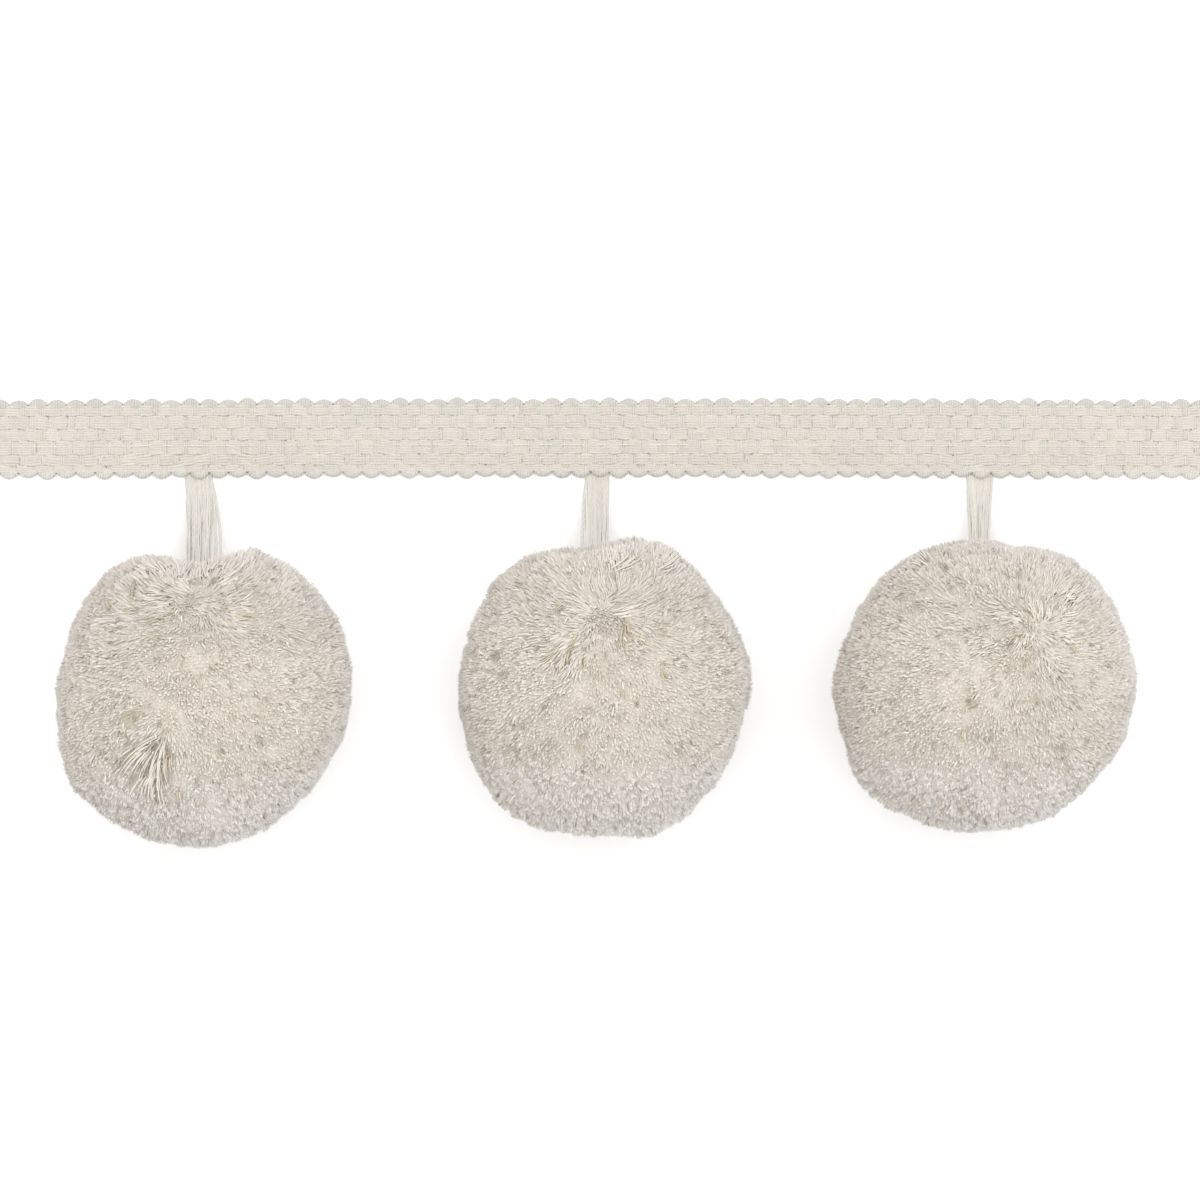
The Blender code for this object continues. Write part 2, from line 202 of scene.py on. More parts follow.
@dataclass
class YarnMesh:
    """Collects many yarns as one mesh, with a colour for each point and a map that runs along each yarn.

    The map of each yarn starts map_step further on than that of the one before it, so that no two look alike.
    A fibre's shading follows the pile around it, and its own roundness only by own_facing.
    """

    points: list[np.ndarray] = field(default_factory=list)
    colours: list[np.ndarray] = field(default_factory=list)
    quads: list[np.ndarray] = field(default_factory=list)
    triangles: list[np.ndarray] = field(default_factory=list)
    maps: list[np.ndarray] = field(default_factory=list)
    facings: list[np.ndarray] = field(default_factory=list)
    own_facing: float = 0.12
    map_step: float = 1.618
    count: int = 0

    def add_points(self, points: np.ndarray, colours: np.ndarray) -> int:
        """Adds points with their colours.

        Args:
            points: array of n by 3.
            colours: array of n by 3.

        Returns:
            The number of the first new point.
        """
        start = self.count
        self.points.append(points)
        self.colours.append(colours)
        self.count += len(points)
        return start

    def add_tubes(
        self,
        paths: np.ndarray,
        radii: np.ndarray,
        sides: int,
        reference: np.ndarray,
        colours: np.ndarray,
        arc: float = FULL_TURN,
    ) -> None:
        """Adds yarns that all have the same number of rings.

        Args:
            paths: array of yarns by rings by 3.
            radii: array of yarns by rings.
            sides: sides of each ring.
            reference: vector across the paths, level, which starts each ring.
            colours: array of yarns by 3.
            arc: the part of the circle that is made, from the reference over the top.
        """
        yarns, rings, _ = paths.shape
        whole = arc >= FULL_TURN
        corners = sides if whole else sides + 1
        along = unit(np.gradient(paths, axis=1))
        up = unit(np.cross(reference, along))
        side = unit(np.cross(along, up))
        travel = np.zeros((yarns, rings))
        travel[:, 1:] = np.cumsum(np.linalg.norm(np.diff(paths, axis=1), axis=2), axis=1)
        angle = (math.pi - arc) / 2 + np.arange(corners) * arc / sides
        ring = side[:, :, None, :] * np.cos(angle)[:, None] + up[:, :, None, :] * np.sin(angle)[:, None]
        places = paths[:, :, None, :] + ring * radii[:, :, None, None]
        tint = np.broadcast_to(colours[:, None, None, :], places.shape)
        start = self.add_points(places.reshape(-1, 3), tint.reshape(-1, 3))
        number = start + np.arange(yarns * rings * corners).reshape(yarns, rings, corners)
        here = number if whole else number[:, :, :-1]
        after = np.roll(number, -1, axis=2) if whole else number[:, :, 1:]
        quads = np.stack([here[:, :-1], here[:, 1:], after[:, 1:], after[:, :-1]], axis=-1)
        self.quads.append(quads.reshape(-1, 4))
        share = np.arange(sides) / sides
        travel = travel + (np.arange(yarns) * self.map_step)[:, None]
        low = np.broadcast_to(travel[:, :-1, None], (yarns, rings - 1, sides))
        high = np.broadcast_to(travel[:, 1:, None], low.shape)
        turn = np.broadcast_to(share, low.shape)
        turn_after = turn + 1.0 / sides
        mapped = np.stack([turn, low, turn, high, turn_after, high, turn_after, low], axis=-1)
        self.maps.append(mapped.reshape(-1, 2))

    def add_fibres(
        self,
        rings: list[tuple[np.ndarray, np.ndarray]],
        tips: np.ndarray,
        root_colours: np.ndarray,
        tip_colours: np.ndarray,
        facing: np.ndarray,
    ) -> None:
        """Adds three-sided fibres that close at their tips.

        Args:
            rings: points and radii of the fibres at their roots, and at their shoulders if they are blunt.
            tips: the last point of each fibre.
            root_colours: array of fibres by 3, for the roots.
            tip_colours: array of fibres by 3, for the rest.
            facing: the direction that each fibre's surface is shaded towards.
        """
        roots = rings[0][0]
        aims = rings[1][0] if len(rings) > 1 else tips
        ring = self.three_sides(aims - roots)
        stages = [points[:, None, :] + ring * radius[:, None, None] for points, radius in rings]
        places = np.concatenate([*stages, tips[:, None, :]], axis=1)
        low = np.repeat(root_colours[:, None], 3, 1)
        high = np.repeat(tip_colours[:, None], places.shape[1] - 3, 1)
        start = self.add_points(places.reshape(-1, 3), np.concatenate([low, high], axis=1).reshape(-1, 3))
        own = np.concatenate([ring] * len(rings) + [unit(tips - roots)[:, None]], axis=1)
        self.facings.append(unit(facing[:, None, :] + own * self.own_facing).reshape(-1, 3))
        base = (start + np.arange(len(roots)) * places.shape[1])[:, None]
        top = 3 * (len(rings) - 1)
        for corner in range(3):
            after = (corner + 1) % 3
            if top:
                self.quads.append(base + np.array([[corner, corner + top, after + top, after]]))
            self.triangles.append(base + np.array([[corner + top, top + 3, after + top]]))

    @staticmethod
    def three_sides(along: np.ndarray) -> np.ndarray:
        """Works out three even directions around each of some directions.

        Args:
            along: array of n by 3, of any length.

        Returns:
            Array of n by 3 by 3, of unit vectors.
        """
        along = unit(along)
        upright = np.abs(along[:, 2:3]) > 0.8
        helper = np.where(upright, np.array([[1.0, 0.0, 0.0]]), np.array([[0.0, 0.0, 1.0]]))
        side = unit(np.cross(along, helper))
        up = np.cross(side, along)
        angle = np.arange(3) * FULL_TURN / 3
        return side[:, None, :] * np.cos(angle)[None, :, None] + up[:, None, :] * np.sin(angle)[None, :, None]

    def build(self, name: str, material: bpy.types.Material) -> bpy.types.Object:
        """Writes the collected yarns as one object.

        Args:
            name: name of the object.
            material: its finish.

        Returns:
            The new object.
        """
        points = np.concatenate(self.points) * MM
        quads = np.concatenate(self.quads).tolist() if self.quads else []
        triangles = np.concatenate(self.triangles).tolist() if self.triangles else []
        mesh = bpy.data.meshes.new(name)
        mesh.from_pydata(points.tolist(), [], quads + triangles)
        colours = np.ones((self.count, 4))
        colours[:, :3] = np.clip(np.concatenate(self.colours), 0.0, 1.0)
        layer = mesh.color_attributes.new(name=COLOUR_LAYER, type="FLOAT_COLOR", domain="POINT")
        layer.data.foreach_set("color", colours.ravel())
        if self.maps:
            corners = np.zeros((len(mesh.loops), 2))
            mapped = np.concatenate(self.maps)
            corners[: len(mapped)] = mapped
            path_map = mesh.uv_layers.new(name=PATH_LAYER)
            path_map.data.foreach_set("uv", corners.ravel())
        mesh.shade_smooth()
        if self.facings:
            mesh.normals_split_custom_set_from_vertices(np.concatenate(self.facings).tolist())
        mesh.materials.append(material)
        item = bpy.data.objects.new(name, mesh)
        bpy.context.scene.collection.objects.link(item)
        return item


class NodeSheet:
    """Places nodes from left to right in a tree and links them."""

    def __init__(self, tree: bpy.types.NodeTree) -> None:
        """Keeps the tree.

        Args:
            tree: the node tree to write in.
        """
        self.tree = tree
        self.column = 0

    def add(self, kind: str, **values: object) -> bpy.types.Node:
        """Adds a node.

        Args:
            kind: the node's type name.
            values: properties of the node.

        Returns:
            The new node.
        """
        node = self.tree.nodes.new(kind)
        node.location = (self.column * 190, 0)
        self.column += 1
        for key, value in values.items():
            setattr(node, key, value)
        return node

    def math(self, operation: str, first: object, second: object = None, third: object = None) -> object:
        """Adds a Math node and returns its output.

        Args:
            operation: the sum to do.
            first: a number or an output socket.
            second: a number or an output socket.
            third: a number or an output socket.

        Returns:
            The node's output socket.
        """
        node = self.add("ShaderNodeMath", operation=operation)
        for socket, value in zip(node.inputs, (first, second, third)):
            if isinstance(value, (int, float)):
                socket.default_value = value
            elif value is not None:
                self.tree.links.new(value, socket)
        return node.outputs[0]

    def blend(self, share: object, first: object, second: object, kind: str = "MIX") -> object:
        """Mixes two colours.

        Args:
            share: a number or an output socket.
            first: a colour or an output socket.
            second: a colour or an output socket.
            kind: how the colours are mixed.

        Returns:
            The mixed colour's output socket.
        """
        node = self.add("ShaderNodeMix", data_type="RGBA", blend_type=kind)
        for socket, value in ((node.inputs[0], share), (node.inputs[6], first), (node.inputs[7], second)):
            if isinstance(value, (int, float)):
                socket.default_value = value
            elif isinstance(value, tuple):
                socket.default_value = (*value, 1.0)
            else:
                self.tree.links.new(value, socket)
        return node.outputs[2]

    def shaded(self, colour: object, value: object) -> object:
        """Multiplies a colour by a number.

        Args:
            colour: the colour's output socket.
            value: the number's output socket.

        Returns:
            The shaded colour's output socket.
        """
        grey = self.add("ShaderNodeCombineColor")
        for socket in grey.inputs[:3]:
            self.link(value, socket)
        return self.blend(1.0, colour, grey.outputs[0], "MULTIPLY")

    def link(self, output: object, socket: object) -> None:
        """Links an output to an input."""
        self.tree.links.new(output, socket)


@dataclass
class MattSurface:
    """A material for matt cotton, ready for its colour, roughness and relief."""

    name: str
    sheen: float
    sheen_roughness: float
    material: bpy.types.Material = field(init=False)
    sheet: NodeSheet = field(init=False)
    shader: bpy.types.Node = field(init=False)

    def __post_init__(self) -> None:
        """Makes the material with its plain values."""
        self.material = bpy.data.materials.new(self.name)
        self.material.use_nodes = True
        self.sheet = NodeSheet(self.material.node_tree)
        self.shader = self.material.node_tree.nodes["Principled BSDF"]
        self.shader.inputs["Specular IOR Level"].default_value = MATT_SPECULAR
        self.shader.inputs["Sheen Weight"].default_value = self.sheen
        self.shader.inputs["Sheen Roughness"].default_value = self.sheen_roughness

    def finish(
        self,
        colour: object,
        roughness: object,
        height: object,
        strength: float,
        depth_mm: float,
    ) -> None:
        """Links what changes over the surface to the shader.

        Args:
            colour: the colour's output socket.
            roughness: the roughness's output socket.
            height: the relief's output socket.
            strength: strength of the relief.
            depth_mm: depth of the relief.
        """
        bump = self.sheet.add("ShaderNodeBump")
        bump.inputs["Strength"].default_value = strength
        bump.inputs["Distance"].default_value = depth_mm * MM
        self.sheet.link(height, bump.inputs["Height"])
        self.sheet.link(bump.outputs[0], self.shader.inputs["Normal"])
        self.sheet.link(colour, self.shader.inputs["Base Color"])
        self.sheet.link(roughness, self.shader.inputs["Roughness"])


@dataclass
class SharedEffects:
    """Shader node groups that more than one finish uses."""

    cotton: bpy.types.NodeTree = field(init=False)
    twist: bpy.types.NodeTree = field(init=False)

    def __post_init__(self) -> None:
        """Builds the groups once."""
        self.cotton = self.make_cotton()
        self.twist = self.make_twist()

    @staticmethod
    def new_group(name: str, inputs: dict[str, float], outputs: dict[str, str]) -> tuple:
        """Makes an empty group.

        Args:
            name: name of the group.
            inputs: names of number inputs with their defaults.
            outputs: names of outputs with their socket types.

        Returns:
            The group, its node sheet, its input node and its output node.
        """
        group = bpy.data.node_groups.new(name, "ShaderNodeTree")
        for key, value in inputs.items():
            socket = group.interface.new_socket(key, in_out="INPUT", socket_type="NodeSocketFloat")
            socket.default_value = value
        for key, kind in outputs.items():
            group.interface.new_socket(key, in_out="OUTPUT", socket_type=kind)
        sheet = NodeSheet(group)
        return group, sheet, sheet.add("NodeGroupInput"), sheet.add("NodeGroupOutput")

    def make_cotton(self) -> bpy.types.NodeTree:
        """Makes a group that varies a yarn's own colour as raw cotton does, softly and in fine specks.

        Returns:
            The group.
        """
        group, sheet, entry, leave = self.new_group(
            "raw_cotton",
            {"Soft Scale": 90.0, "Speck Scale": 900.0, "Softness": 0.12, "Specks": 0.10},
            {"Color": "NodeSocketColor", "Roughness": "NodeSocketFloat", "Height": "NodeSocketFloat"},
        )
        colour = sheet.add("ShaderNodeAttribute", attribute_name=COLOUR_LAYER)
        place = sheet.add("ShaderNodeTexCoord")
        shares = []
        for scale, detail in (("Soft Scale", 3.0), ("Speck Scale", 2.0)):
            noise = sheet.add("ShaderNodeTexNoise")
            noise.inputs["Detail"].default_value = detail
            sheet.link(place.outputs["Object"], noise.inputs["Vector"])
            sheet.link(entry.outputs[scale], noise.inputs["Scale"])
            shares.append(sheet.math("MULTIPLY", sheet.math("SUBTRACT", noise.outputs["Fac"], 0.5), 2.0))
        soft_share, speck_share = shares
        change = sheet.math(
            "ADD",
            sheet.math("MULTIPLY", soft_share, entry.outputs["Softness"]),
            sheet.math("MULTIPLY", speck_share, entry.outputs["Specks"]),
        )
        tinted = sheet.shaded(colour.outputs["Color"], sheet.math("ADD", change, 1.0))
        sheet.link(tinted, leave.inputs["Color"])
        sheet.link(sheet.math("MULTIPLY_ADD", speck_share, -0.08, 0.92), leave.inputs["Roughness"])
        sheet.link(speck_share, leave.inputs["Height"])
        return group

    def make_twist(self) -> bpy.types.NodeTree:
        """Makes a group that draws the slanting grooves between the fibres of a twisted yarn, as relief and as
        painted shade in the grooves.

        Returns:
            The group.
        """
        group, sheet, entry, leave = self.new_group(
            "yarn_twist",
            {"Turns": 1.2, "Fibres": 2.0, "Twist Shade": 0.3},
            {"Shade": "NodeSocketFloat", "Height": "NodeSocketFloat"},
        )
        path = sheet.add("ShaderNodeUVMap", uv_map=PATH_LAYER)
        split = sheet.add("ShaderNodeSeparateXYZ")
        sheet.link(path.outputs[0], split.inputs[0])
        along = sheet.math("MULTIPLY", split.outputs[1], entry.outputs["Turns"])
        around = sheet.math("MULTIPLY", split.outputs[0], entry.outputs["Fibres"])
        wave = sheet.math("SINE", sheet.math("MULTIPLY", sheet.math("ADD", around, along), FULL_TURN))
        height = sheet.math("MULTIPLY_ADD", wave, 0.5, 0.5)
        low = sheet.math("SUBTRACT", 1.0, height)
        # Painted shade: the colour is darkened in the grooves between fibres.
        shade = sheet.math("SUBTRACT", 1.0, sheet.math("MULTIPLY", low, entry.outputs["Twist Shade"]))
        sheet.link(shade, leave.inputs["Shade"])
        sheet.link(height, leave.inputs["Height"])
        return group


@dataclass(frozen=True)
class YarnFinish:
    """A matt cotton yarn. Twisted yarns, which have a twist shade, show slanting grooves between their fibres,
    darkened there as painted shade.
    """

    name: str
    softness: float
    specks: float
    speck_scale: float
    bump_mm: float
    sheen: float
    twist_shade: float = 0.0
    turns_per_mm: float = 0.0
    fibres: float = 0.0
    sheen_roughness: float = 0.6
    bump_strength: float = 0.6

    def build(self, effects: SharedEffects) -> bpy.types.Material:
        """Makes the material.

        Args:
            effects: the shared node groups.

        Returns:
            The material.
        """
        surface = MattSurface(self.name, self.sheen, self.sheen_roughness)
        sheet = surface.sheet
        cotton = sheet.add("ShaderNodeGroup", node_tree=effects.cotton)
        cotton.inputs["Speck Scale"].default_value = self.speck_scale
        cotton.inputs["Softness"].default_value = self.softness
        cotton.inputs["Specks"].default_value = self.specks
        colour = cotton.outputs["Color"]
        height = cotton.outputs["Height"]
        if self.twist_shade > 0.0:
            twist = sheet.add("ShaderNodeGroup", node_tree=effects.twist)
            twist.inputs["Turns"].default_value = self.turns_per_mm
            twist.inputs["Fibres"].default_value = self.fibres
            twist.inputs["Twist Shade"].default_value = self.twist_shade
            # Painted shade in the twist's grooves.
            colour = sheet.shaded(colour, twist.outputs["Shade"])
            height = sheet.math("MULTIPLY_ADD", twist.outputs["Height"], 2.0, height)
        surface.finish(colour, cotton.outputs["Roughness"], height, self.bump_strength, self.bump_mm)
        return surface.material


@dataclass(frozen=True)
class ClothFinish:
    """The ground of the heading braid, which shows its basket weave on the back, darker in the weave's hollows
    as painted shade.
    """

    name: str
    pitch_x: float
    pitch_y: float
    centre_y: float
    weft_pitch: float = 0.7
    warp_waves: float = 4.0
    bump_mm: float = 0.2
    bump_strength: float = 1.0
    sheen: float = 0.15
    sheen_roughness: float = 0.5

    def build(self, effects: SharedEffects) -> bpy.types.Material:
        """Makes the material.

        Args:
            effects: the shared node groups.

        Returns:
            The material.
        """
        surface = MattSurface(self.name, self.sheen, self.sheen_roughness)
        sheet = surface.sheet
        cotton = sheet.add("ShaderNodeGroup", node_tree=effects.cotton)
        place = sheet.add("ShaderNodeTexCoord")
        split = sheet.add("ShaderNodeSeparateXYZ")
        sheet.link(place.outputs["Object"], split.inputs[0])
        x, y = split.outputs[0], split.outputs[1]
        row = sheet.math("DIVIDE", sheet.math("SUBTRACT", y, self.centre_y * MM), self.pitch_y * MM)
        odd = sheet.math("MULTIPLY", sheet.math("PINGPONG", sheet.math("FLOOR", row), 1.0), 0.5)
        block = sheet.math("FRACT", sheet.math("ADD", sheet.math("DIVIDE", x, self.pitch_x * MM), odd))
        warp = sheet.math("COMPARE", block, 0.5, 0.3)
        warp_lines = sheet.math("SINE", sheet.math("MULTIPLY", row, self.warp_waves * FULL_TURN))
        weft_lines = sheet.math("SINE", sheet.math("MULTIPLY", x, FULL_TURN / (self.weft_pitch * MM)))
        lines = sheet.math(
            "ADD",
            sheet.math("MULTIPLY", warp_lines, warp),
            sheet.math("MULTIPLY", weft_lines, sheet.math("SUBTRACT", 1.0, warp)),
        )
        height = sheet.math("ADD", sheet.math("MULTIPLY", lines, 0.5), sheet.math("MULTIPLY", warp, 0.8))
        # Painted shade: the colour is darker where the weave's relief is low, in its hollows.
        tone = sheet.math("MULTIPLY_ADD", height, 0.12, 0.86)
        colour = sheet.shaded(cotton.outputs["Color"], tone)
        surface.finish(colour, cotton.outputs["Roughness"], height, self.bump_strength, self.bump_mm)
        return surface.material


@dataclass
class HeadingBraid:
    """The woven heading: ground cloth, warp floats, weft blocks, scalloped selvedges and a centre thread.

    The float_path runs along the braid and up. The weft_path runs across a row, as a share of its height,
    and up.
    """

    length: float = 312.0
    width: float = 19.9
    centre_y: float = 45.9
    bow: float = 0.45
    repeat: float = 4.8
    row_edges: tuple[float, ...] = (-8.4, -6.75, -4.0, -0.5, 2.5, 5.75, 8.4)
    row_shift: float = 1.2
    scallop_depth: float = 1.25
    scallop_unevenness: float = 0.25
    scallop_roundness: float = 0.9
    loop_yarns: int = 9
    loop_inner: float = 8.05
    loop_top: float = 1.88
    float_pitch: float = 0.62
    float_path: tuple[tuple[float, float], ...] = (
        (-1.9, 1.44),
        (-1.5, 1.70),
        (-0.6, 1.84),
        (0.5, 1.85),
        (1.4, 1.71),
        (1.9, 1.44),
    )
    weft_yarns: int = 3
    weft_pitch: float = 0.56
    weft_path: tuple[tuple[float, float], ...] = (
        (-0.52, 1.46),
        (-0.36, 1.72),
        (0.0, 1.83),
        (0.36, 1.72),
        (0.52, 1.46),
    )
    pit_share: float = 0.35
    pit_offset: float = 1.25
    pit_height: float = 2.2
    yarn_radius: float = 0.36
    ground_half_width: float = 8.5
    ground_top: float = 1.62
    ground_edge: float = 1.2
    ground_edge_drop: float = 0.5
    ground_columns: int = 209
    ground_rows: int = 11
    thread_y: float = 44.6
    thread_height: float = 2.16
    thread_rise: float = 0.36
    thread_radius: float = 0.14
    thread_step: float = 0.4
    thread_wave: float = 4.6
    seed: int = 11

    def middle(self, x: np.ndarray) -> np.ndarray:
        """Returns the y of the braid's bowed centre line at x."""
        return self.centre_y + self.bow * (1.0 - (2.0 * x / self.length) ** 2)

    def repeats(self, start: float) -> np.ndarray:
        """Returns the x of every repeat that lies wholly on the braid.

        Args:
            start: where one repeat is centred.

        Returns:
            The centres from left to right.
        """
        reach = self.length / 2 - self.repeat / 2
        first = math.ceil((-reach - start) / self.repeat - 1e-6)
        last = math.floor((reach - start) / self.repeat + 1e-6)
        return start + self.repeat * np.arange(first, last + 1)

    def rows(self) -> list[tuple[float, float, float]]:
        """Works out the rows of the weave, from the lower edge up.

        Returns:
            Each row's middle, its height and where its floats are centred.
        """
        edges = self.row_edges
        return [
            ((low + high) / 2, high - low, self.row_shift * (-1) ** (number + 1))
            for number, (low, high) in enumerate(zip(edges, edges[1:]))
        ]

    def ground(self, material: bpy.types.Material) -> bpy.types.Object:
        """Makes the ground cloth, a thin closed sheet with soft ribs.

        Args:
            material: the finish.

        Returns:
            The cloth as one object.
        """
        chance = np.random.default_rng(self.seed)
        columns, across = self.ground_columns, self.ground_rows
        xs = np.linspace(-self.length / 2, self.length / 2, columns)
        ys = np.linspace(-self.ground_half_width, self.ground_half_width, across)
        grid_x, grid_y = np.meshgrid(xs, ys, indexing="ij")
        rib = chance.normal(0, 0.04, grid_x.shape)
        edge_start = self.ground_half_width - self.ground_edge
        edge = smooth_step(edge_start, self.ground_half_width, np.abs(grid_y))
        top = self.ground_top + rib - self.ground_edge_drop * edge
        place_y = grid_y + self.middle(grid_x)
        upper = np.stack([grid_x, place_y, top], axis=-1).reshape(-1, 3)
        lower = np.stack([grid_x, place_y, np.zeros_like(top)], axis=-1).reshape(-1, 3)
        number = np.arange(columns * across).reshape(columns, across)
        faces = np.stack([number[:-1, :-1], number[1:, :-1], number[1:, 1:], number[:-1, 1:]], axis=-1)
        faces = faces.reshape(-1, 4)
        below = faces[:, ::-1] + columns * across
        rim = np.concatenate([number[:, 0], number[-1, 1:], number[-2::-1, -1], number[0, -2:0:-1]])
        rim_after = np.roll(rim, -1)
        sides = np.stack([rim, rim + columns * across, rim_after + columns * across, rim_after], axis=-1)
        cloth = YarnMesh()
        points = np.concatenate([upper, lower])
        cloth.add_points(points, np.tile(Cotton.BRAID_WEFT.array(), (len(points), 1)))
        cloth.quads = [faces, below, sides]
        return cloth.build("braid_ground", material)

    def floats(self, material: bpy.types.Material) -> bpy.types.Object:
        """Makes the warp floats, blocks of parallel yarns that lie over the weft in a brick layout.

        Args:
            material: the finish.

        Returns:
            The floats as one object.
        """
        chance = np.random.default_rng(self.seed + 1)
        along, heights = np.array(self.float_path).T
        work = YarnMesh()
        for row_y, row_height, start in self.rows():
            centres = self.repeats(start)
            shift = chance.normal(0, 0.16, len(centres))
            slant = chance.normal(0, 0.05, len(centres))
            tone = chance.normal(1.0, 0.012, len(centres))
            rose = np.clip(chance.normal(0.08, 0.22, len(centres)), 0.0, 1.0)
            yarns = round(row_height / self.float_pitch)
            pitch = row_height / yarns
            spread = (yarns - 1) / 2
            for yarn in range(yarns):
                stretch = chance.uniform(0.84, 1.08, len(centres))
                x = centres[:, None] + shift[:, None] + along[None, :] * stretch[:, None]
                wander = chance.normal(0, 0.03, x.shape) + slant[:, None] * along[None, :]
                y = self.middle(x) + row_y + (yarn - spread) * pitch + wander
                lift = 0.10 * (1.0 - 0.25 * abs(yarn - spread)) + chance.uniform(-0.05, 0.07, len(centres))
                z = heights[None, :] + lift[:, None] + chance.normal(0, 0.015, x.shape)
                radii = self.yarn_radius * chance.uniform(0.98, 1.12, x.shape)
                shade = tone * chance.normal(1.0, 0.012, len(centres))
                colours = mix(Cotton.BRAID.array(), Cotton.BRAID_ROSE.array(), rose) * shade[:, None]
                paths = np.stack([x, y, z], axis=-1)
                work.add_tubes(paths, radii, 3, np.array([0.0, -1.0, 0.0]), colours, arc=math.pi)
        return work.build("braid_warp_floats", material)

    def wefts(self, material: bpy.types.Material) -> bpy.types.Object:
        """Makes the weft blocks, short yarns across the rows that fill the places between floats.

        Args:
            material: the finish.

        Returns:
            The blocks as one object.
        """
        chance = np.random.default_rng(self.seed + 2)
        across, heights = np.array(self.weft_path).T
        work = YarnMesh()
        spread = (self.weft_yarns - 1) / 2
        for row_y, row_height, start in self.rows():
            centres = self.repeats(start + self.repeat / 2)
            shift = chance.normal(0, 0.12, len(centres))
            level = chance.uniform(-0.08, 0.08, len(centres))
            for yarn in range(self.weft_yarns):
                x = (centres + shift + (yarn - spread) * self.weft_pitch)[:, None]
                x = x + chance.normal(0, 0.05, (len(centres), len(across)))
                y = self.middle(x) + row_y + across[None, :] * row_height
                z = heights[None, :] + level[:, None]
                radii = self.yarn_radius * 0.9 * chance.uniform(0.9, 1.1, x.shape)
                shade = chance.normal(1.0, 0.02, len(centres))
                colours = Cotton.BRAID_WEFT.array()[None, :] * shade[:, None]
                paths = np.stack([x, y, z], axis=-1)
                work.add_tubes(paths, radii, 3, np.array([1.0, 0.0, 0.0]), colours, arc=math.pi)
        return work.build("braid_weft_blocks", material)

    def painted_pit_shade(self, material: bpy.types.Material) -> bpy.types.Object:
        """Makes small dark marks that paint the shade of the pits where warp and weft change places between
        two rows.

        Args:
            material: the finish.

        Returns:
            The knots as one object.
        """
        chance = np.random.default_rng(self.seed + 3)
        work = YarnMesh()
        for row_y, row_height, start in self.rows()[:-1]:
            sides = (start - self.pit_offset, start + self.pit_offset)
            centres = np.concatenate([self.repeats(place) for place in sides])
            centres = centres[chance.random(len(centres)) < self.pit_share]
            half = chance.uniform(0.14, 0.30, len(centres))
            shift = chance.normal(0, 0.1, (len(centres), 1))
            x = centres[:, None] + shift + half[:, None] * np.array([-1, 0, 1])
            y = self.middle(x) + row_y + row_height / 2 + chance.normal(0, 0.1, (len(centres), 1))
            z = np.full(x.shape, self.pit_height)
            radii = chance.uniform(0.09, 0.17, (len(centres), 1)) * np.array([0.4, 1.0, 0.4])
            shade = chance.uniform(0.7, 1.5, len(centres))
            # Painted shade: the marks are dark, standing for the shade in the pits.
            colours = Cotton.BRAID_PIT_SHADE.array()[None, :] * shade[:, None]
            work.add_tubes(np.stack([x, y, z], axis=-1), radii, 4, np.array([0.0, -1.0, 0.0]), colours)
        return work.build("braid_painted_pit_shade", material)

    def selvedge(self, side: int, material: bpy.types.Material) -> bpy.types.Object:
        """Makes one scalloped selvedge, where groups of weft yarns turn round the braid's edge.

        Args:
            side: 1 for the upper edge and -1 for the lower.
            material: the finish.

        Returns:
            The loops as one object.
        """
        chance = np.random.default_rng(self.seed + 5 + side)
        start = 0.0 if side < 0 else self.repeat / 2
        centres = self.repeats(start)
        index = np.round((centres - start) / self.repeat).astype(int)
        unevenness = self.scallop_unevenness * np.sin(2.3 * index + 1.1 * side)
        name = "upper_selvedge_loops" if side > 0 else "lower_selvedge_loops"
        work = YarnMesh()
        spread = (self.loop_yarns - 1) / 2
        same = np.ones(len(centres))
        for yarn in range(self.loop_yarns):
            share = (yarn - spread) / spread
            bulge = max(1.0 - share**2, 0.0) ** self.scallop_roundness
            depth = self.scallop_depth * 1.08
            edge = self.width / 2 - depth + (depth + unevenness) * bulge - self.yarn_radius * 0.6
            inner = same * (self.loop_inner - 0.55 * bulge)
            outline = np.stack([inner, inner + 0.45, edge - 0.55, edge - 0.14, edge, edge - 0.2], axis=1)
            crest = 1.0 - 0.14 * share**2
            heights = np.array([1.45, self.loop_top, 1.80 * crest, 1.46 * crest, 0.95, 0.42])
            fan = np.array([0.93, 0.96, 1.0, 1.0, 1.0, 1.0])
            half_field = self.repeat / 2 - self.yarn_radius * 0.08
            x = centres[:, None] + share * half_field * fan[None, :]
            x = x + chance.normal(0, 0.015, x.shape)
            y = self.middle(x) + side * outline
            z = heights[None, :] + chance.normal(0, 0.015, x.shape)
            radii = self.yarn_radius * chance.uniform(0.98, 1.1, x.shape)
            shade = chance.normal(1.0, 0.015, len(centres))
            # Painted light and shade: the lower loops are lightened, the upper loops darkened.
            colours = (Cotton.SELVEDGE_UPPER_SHADED if side > 0 else Cotton.SELVEDGE_LOWER_LIGHTENED).array() * shade[:, None]
            paths = np.stack([x, y, z], axis=-1)
            work.add_tubes(paths, radii, 3, np.array([float(side), 0.0, 0.0]), colours, arc=math.pi)
        return work.build(name, material)

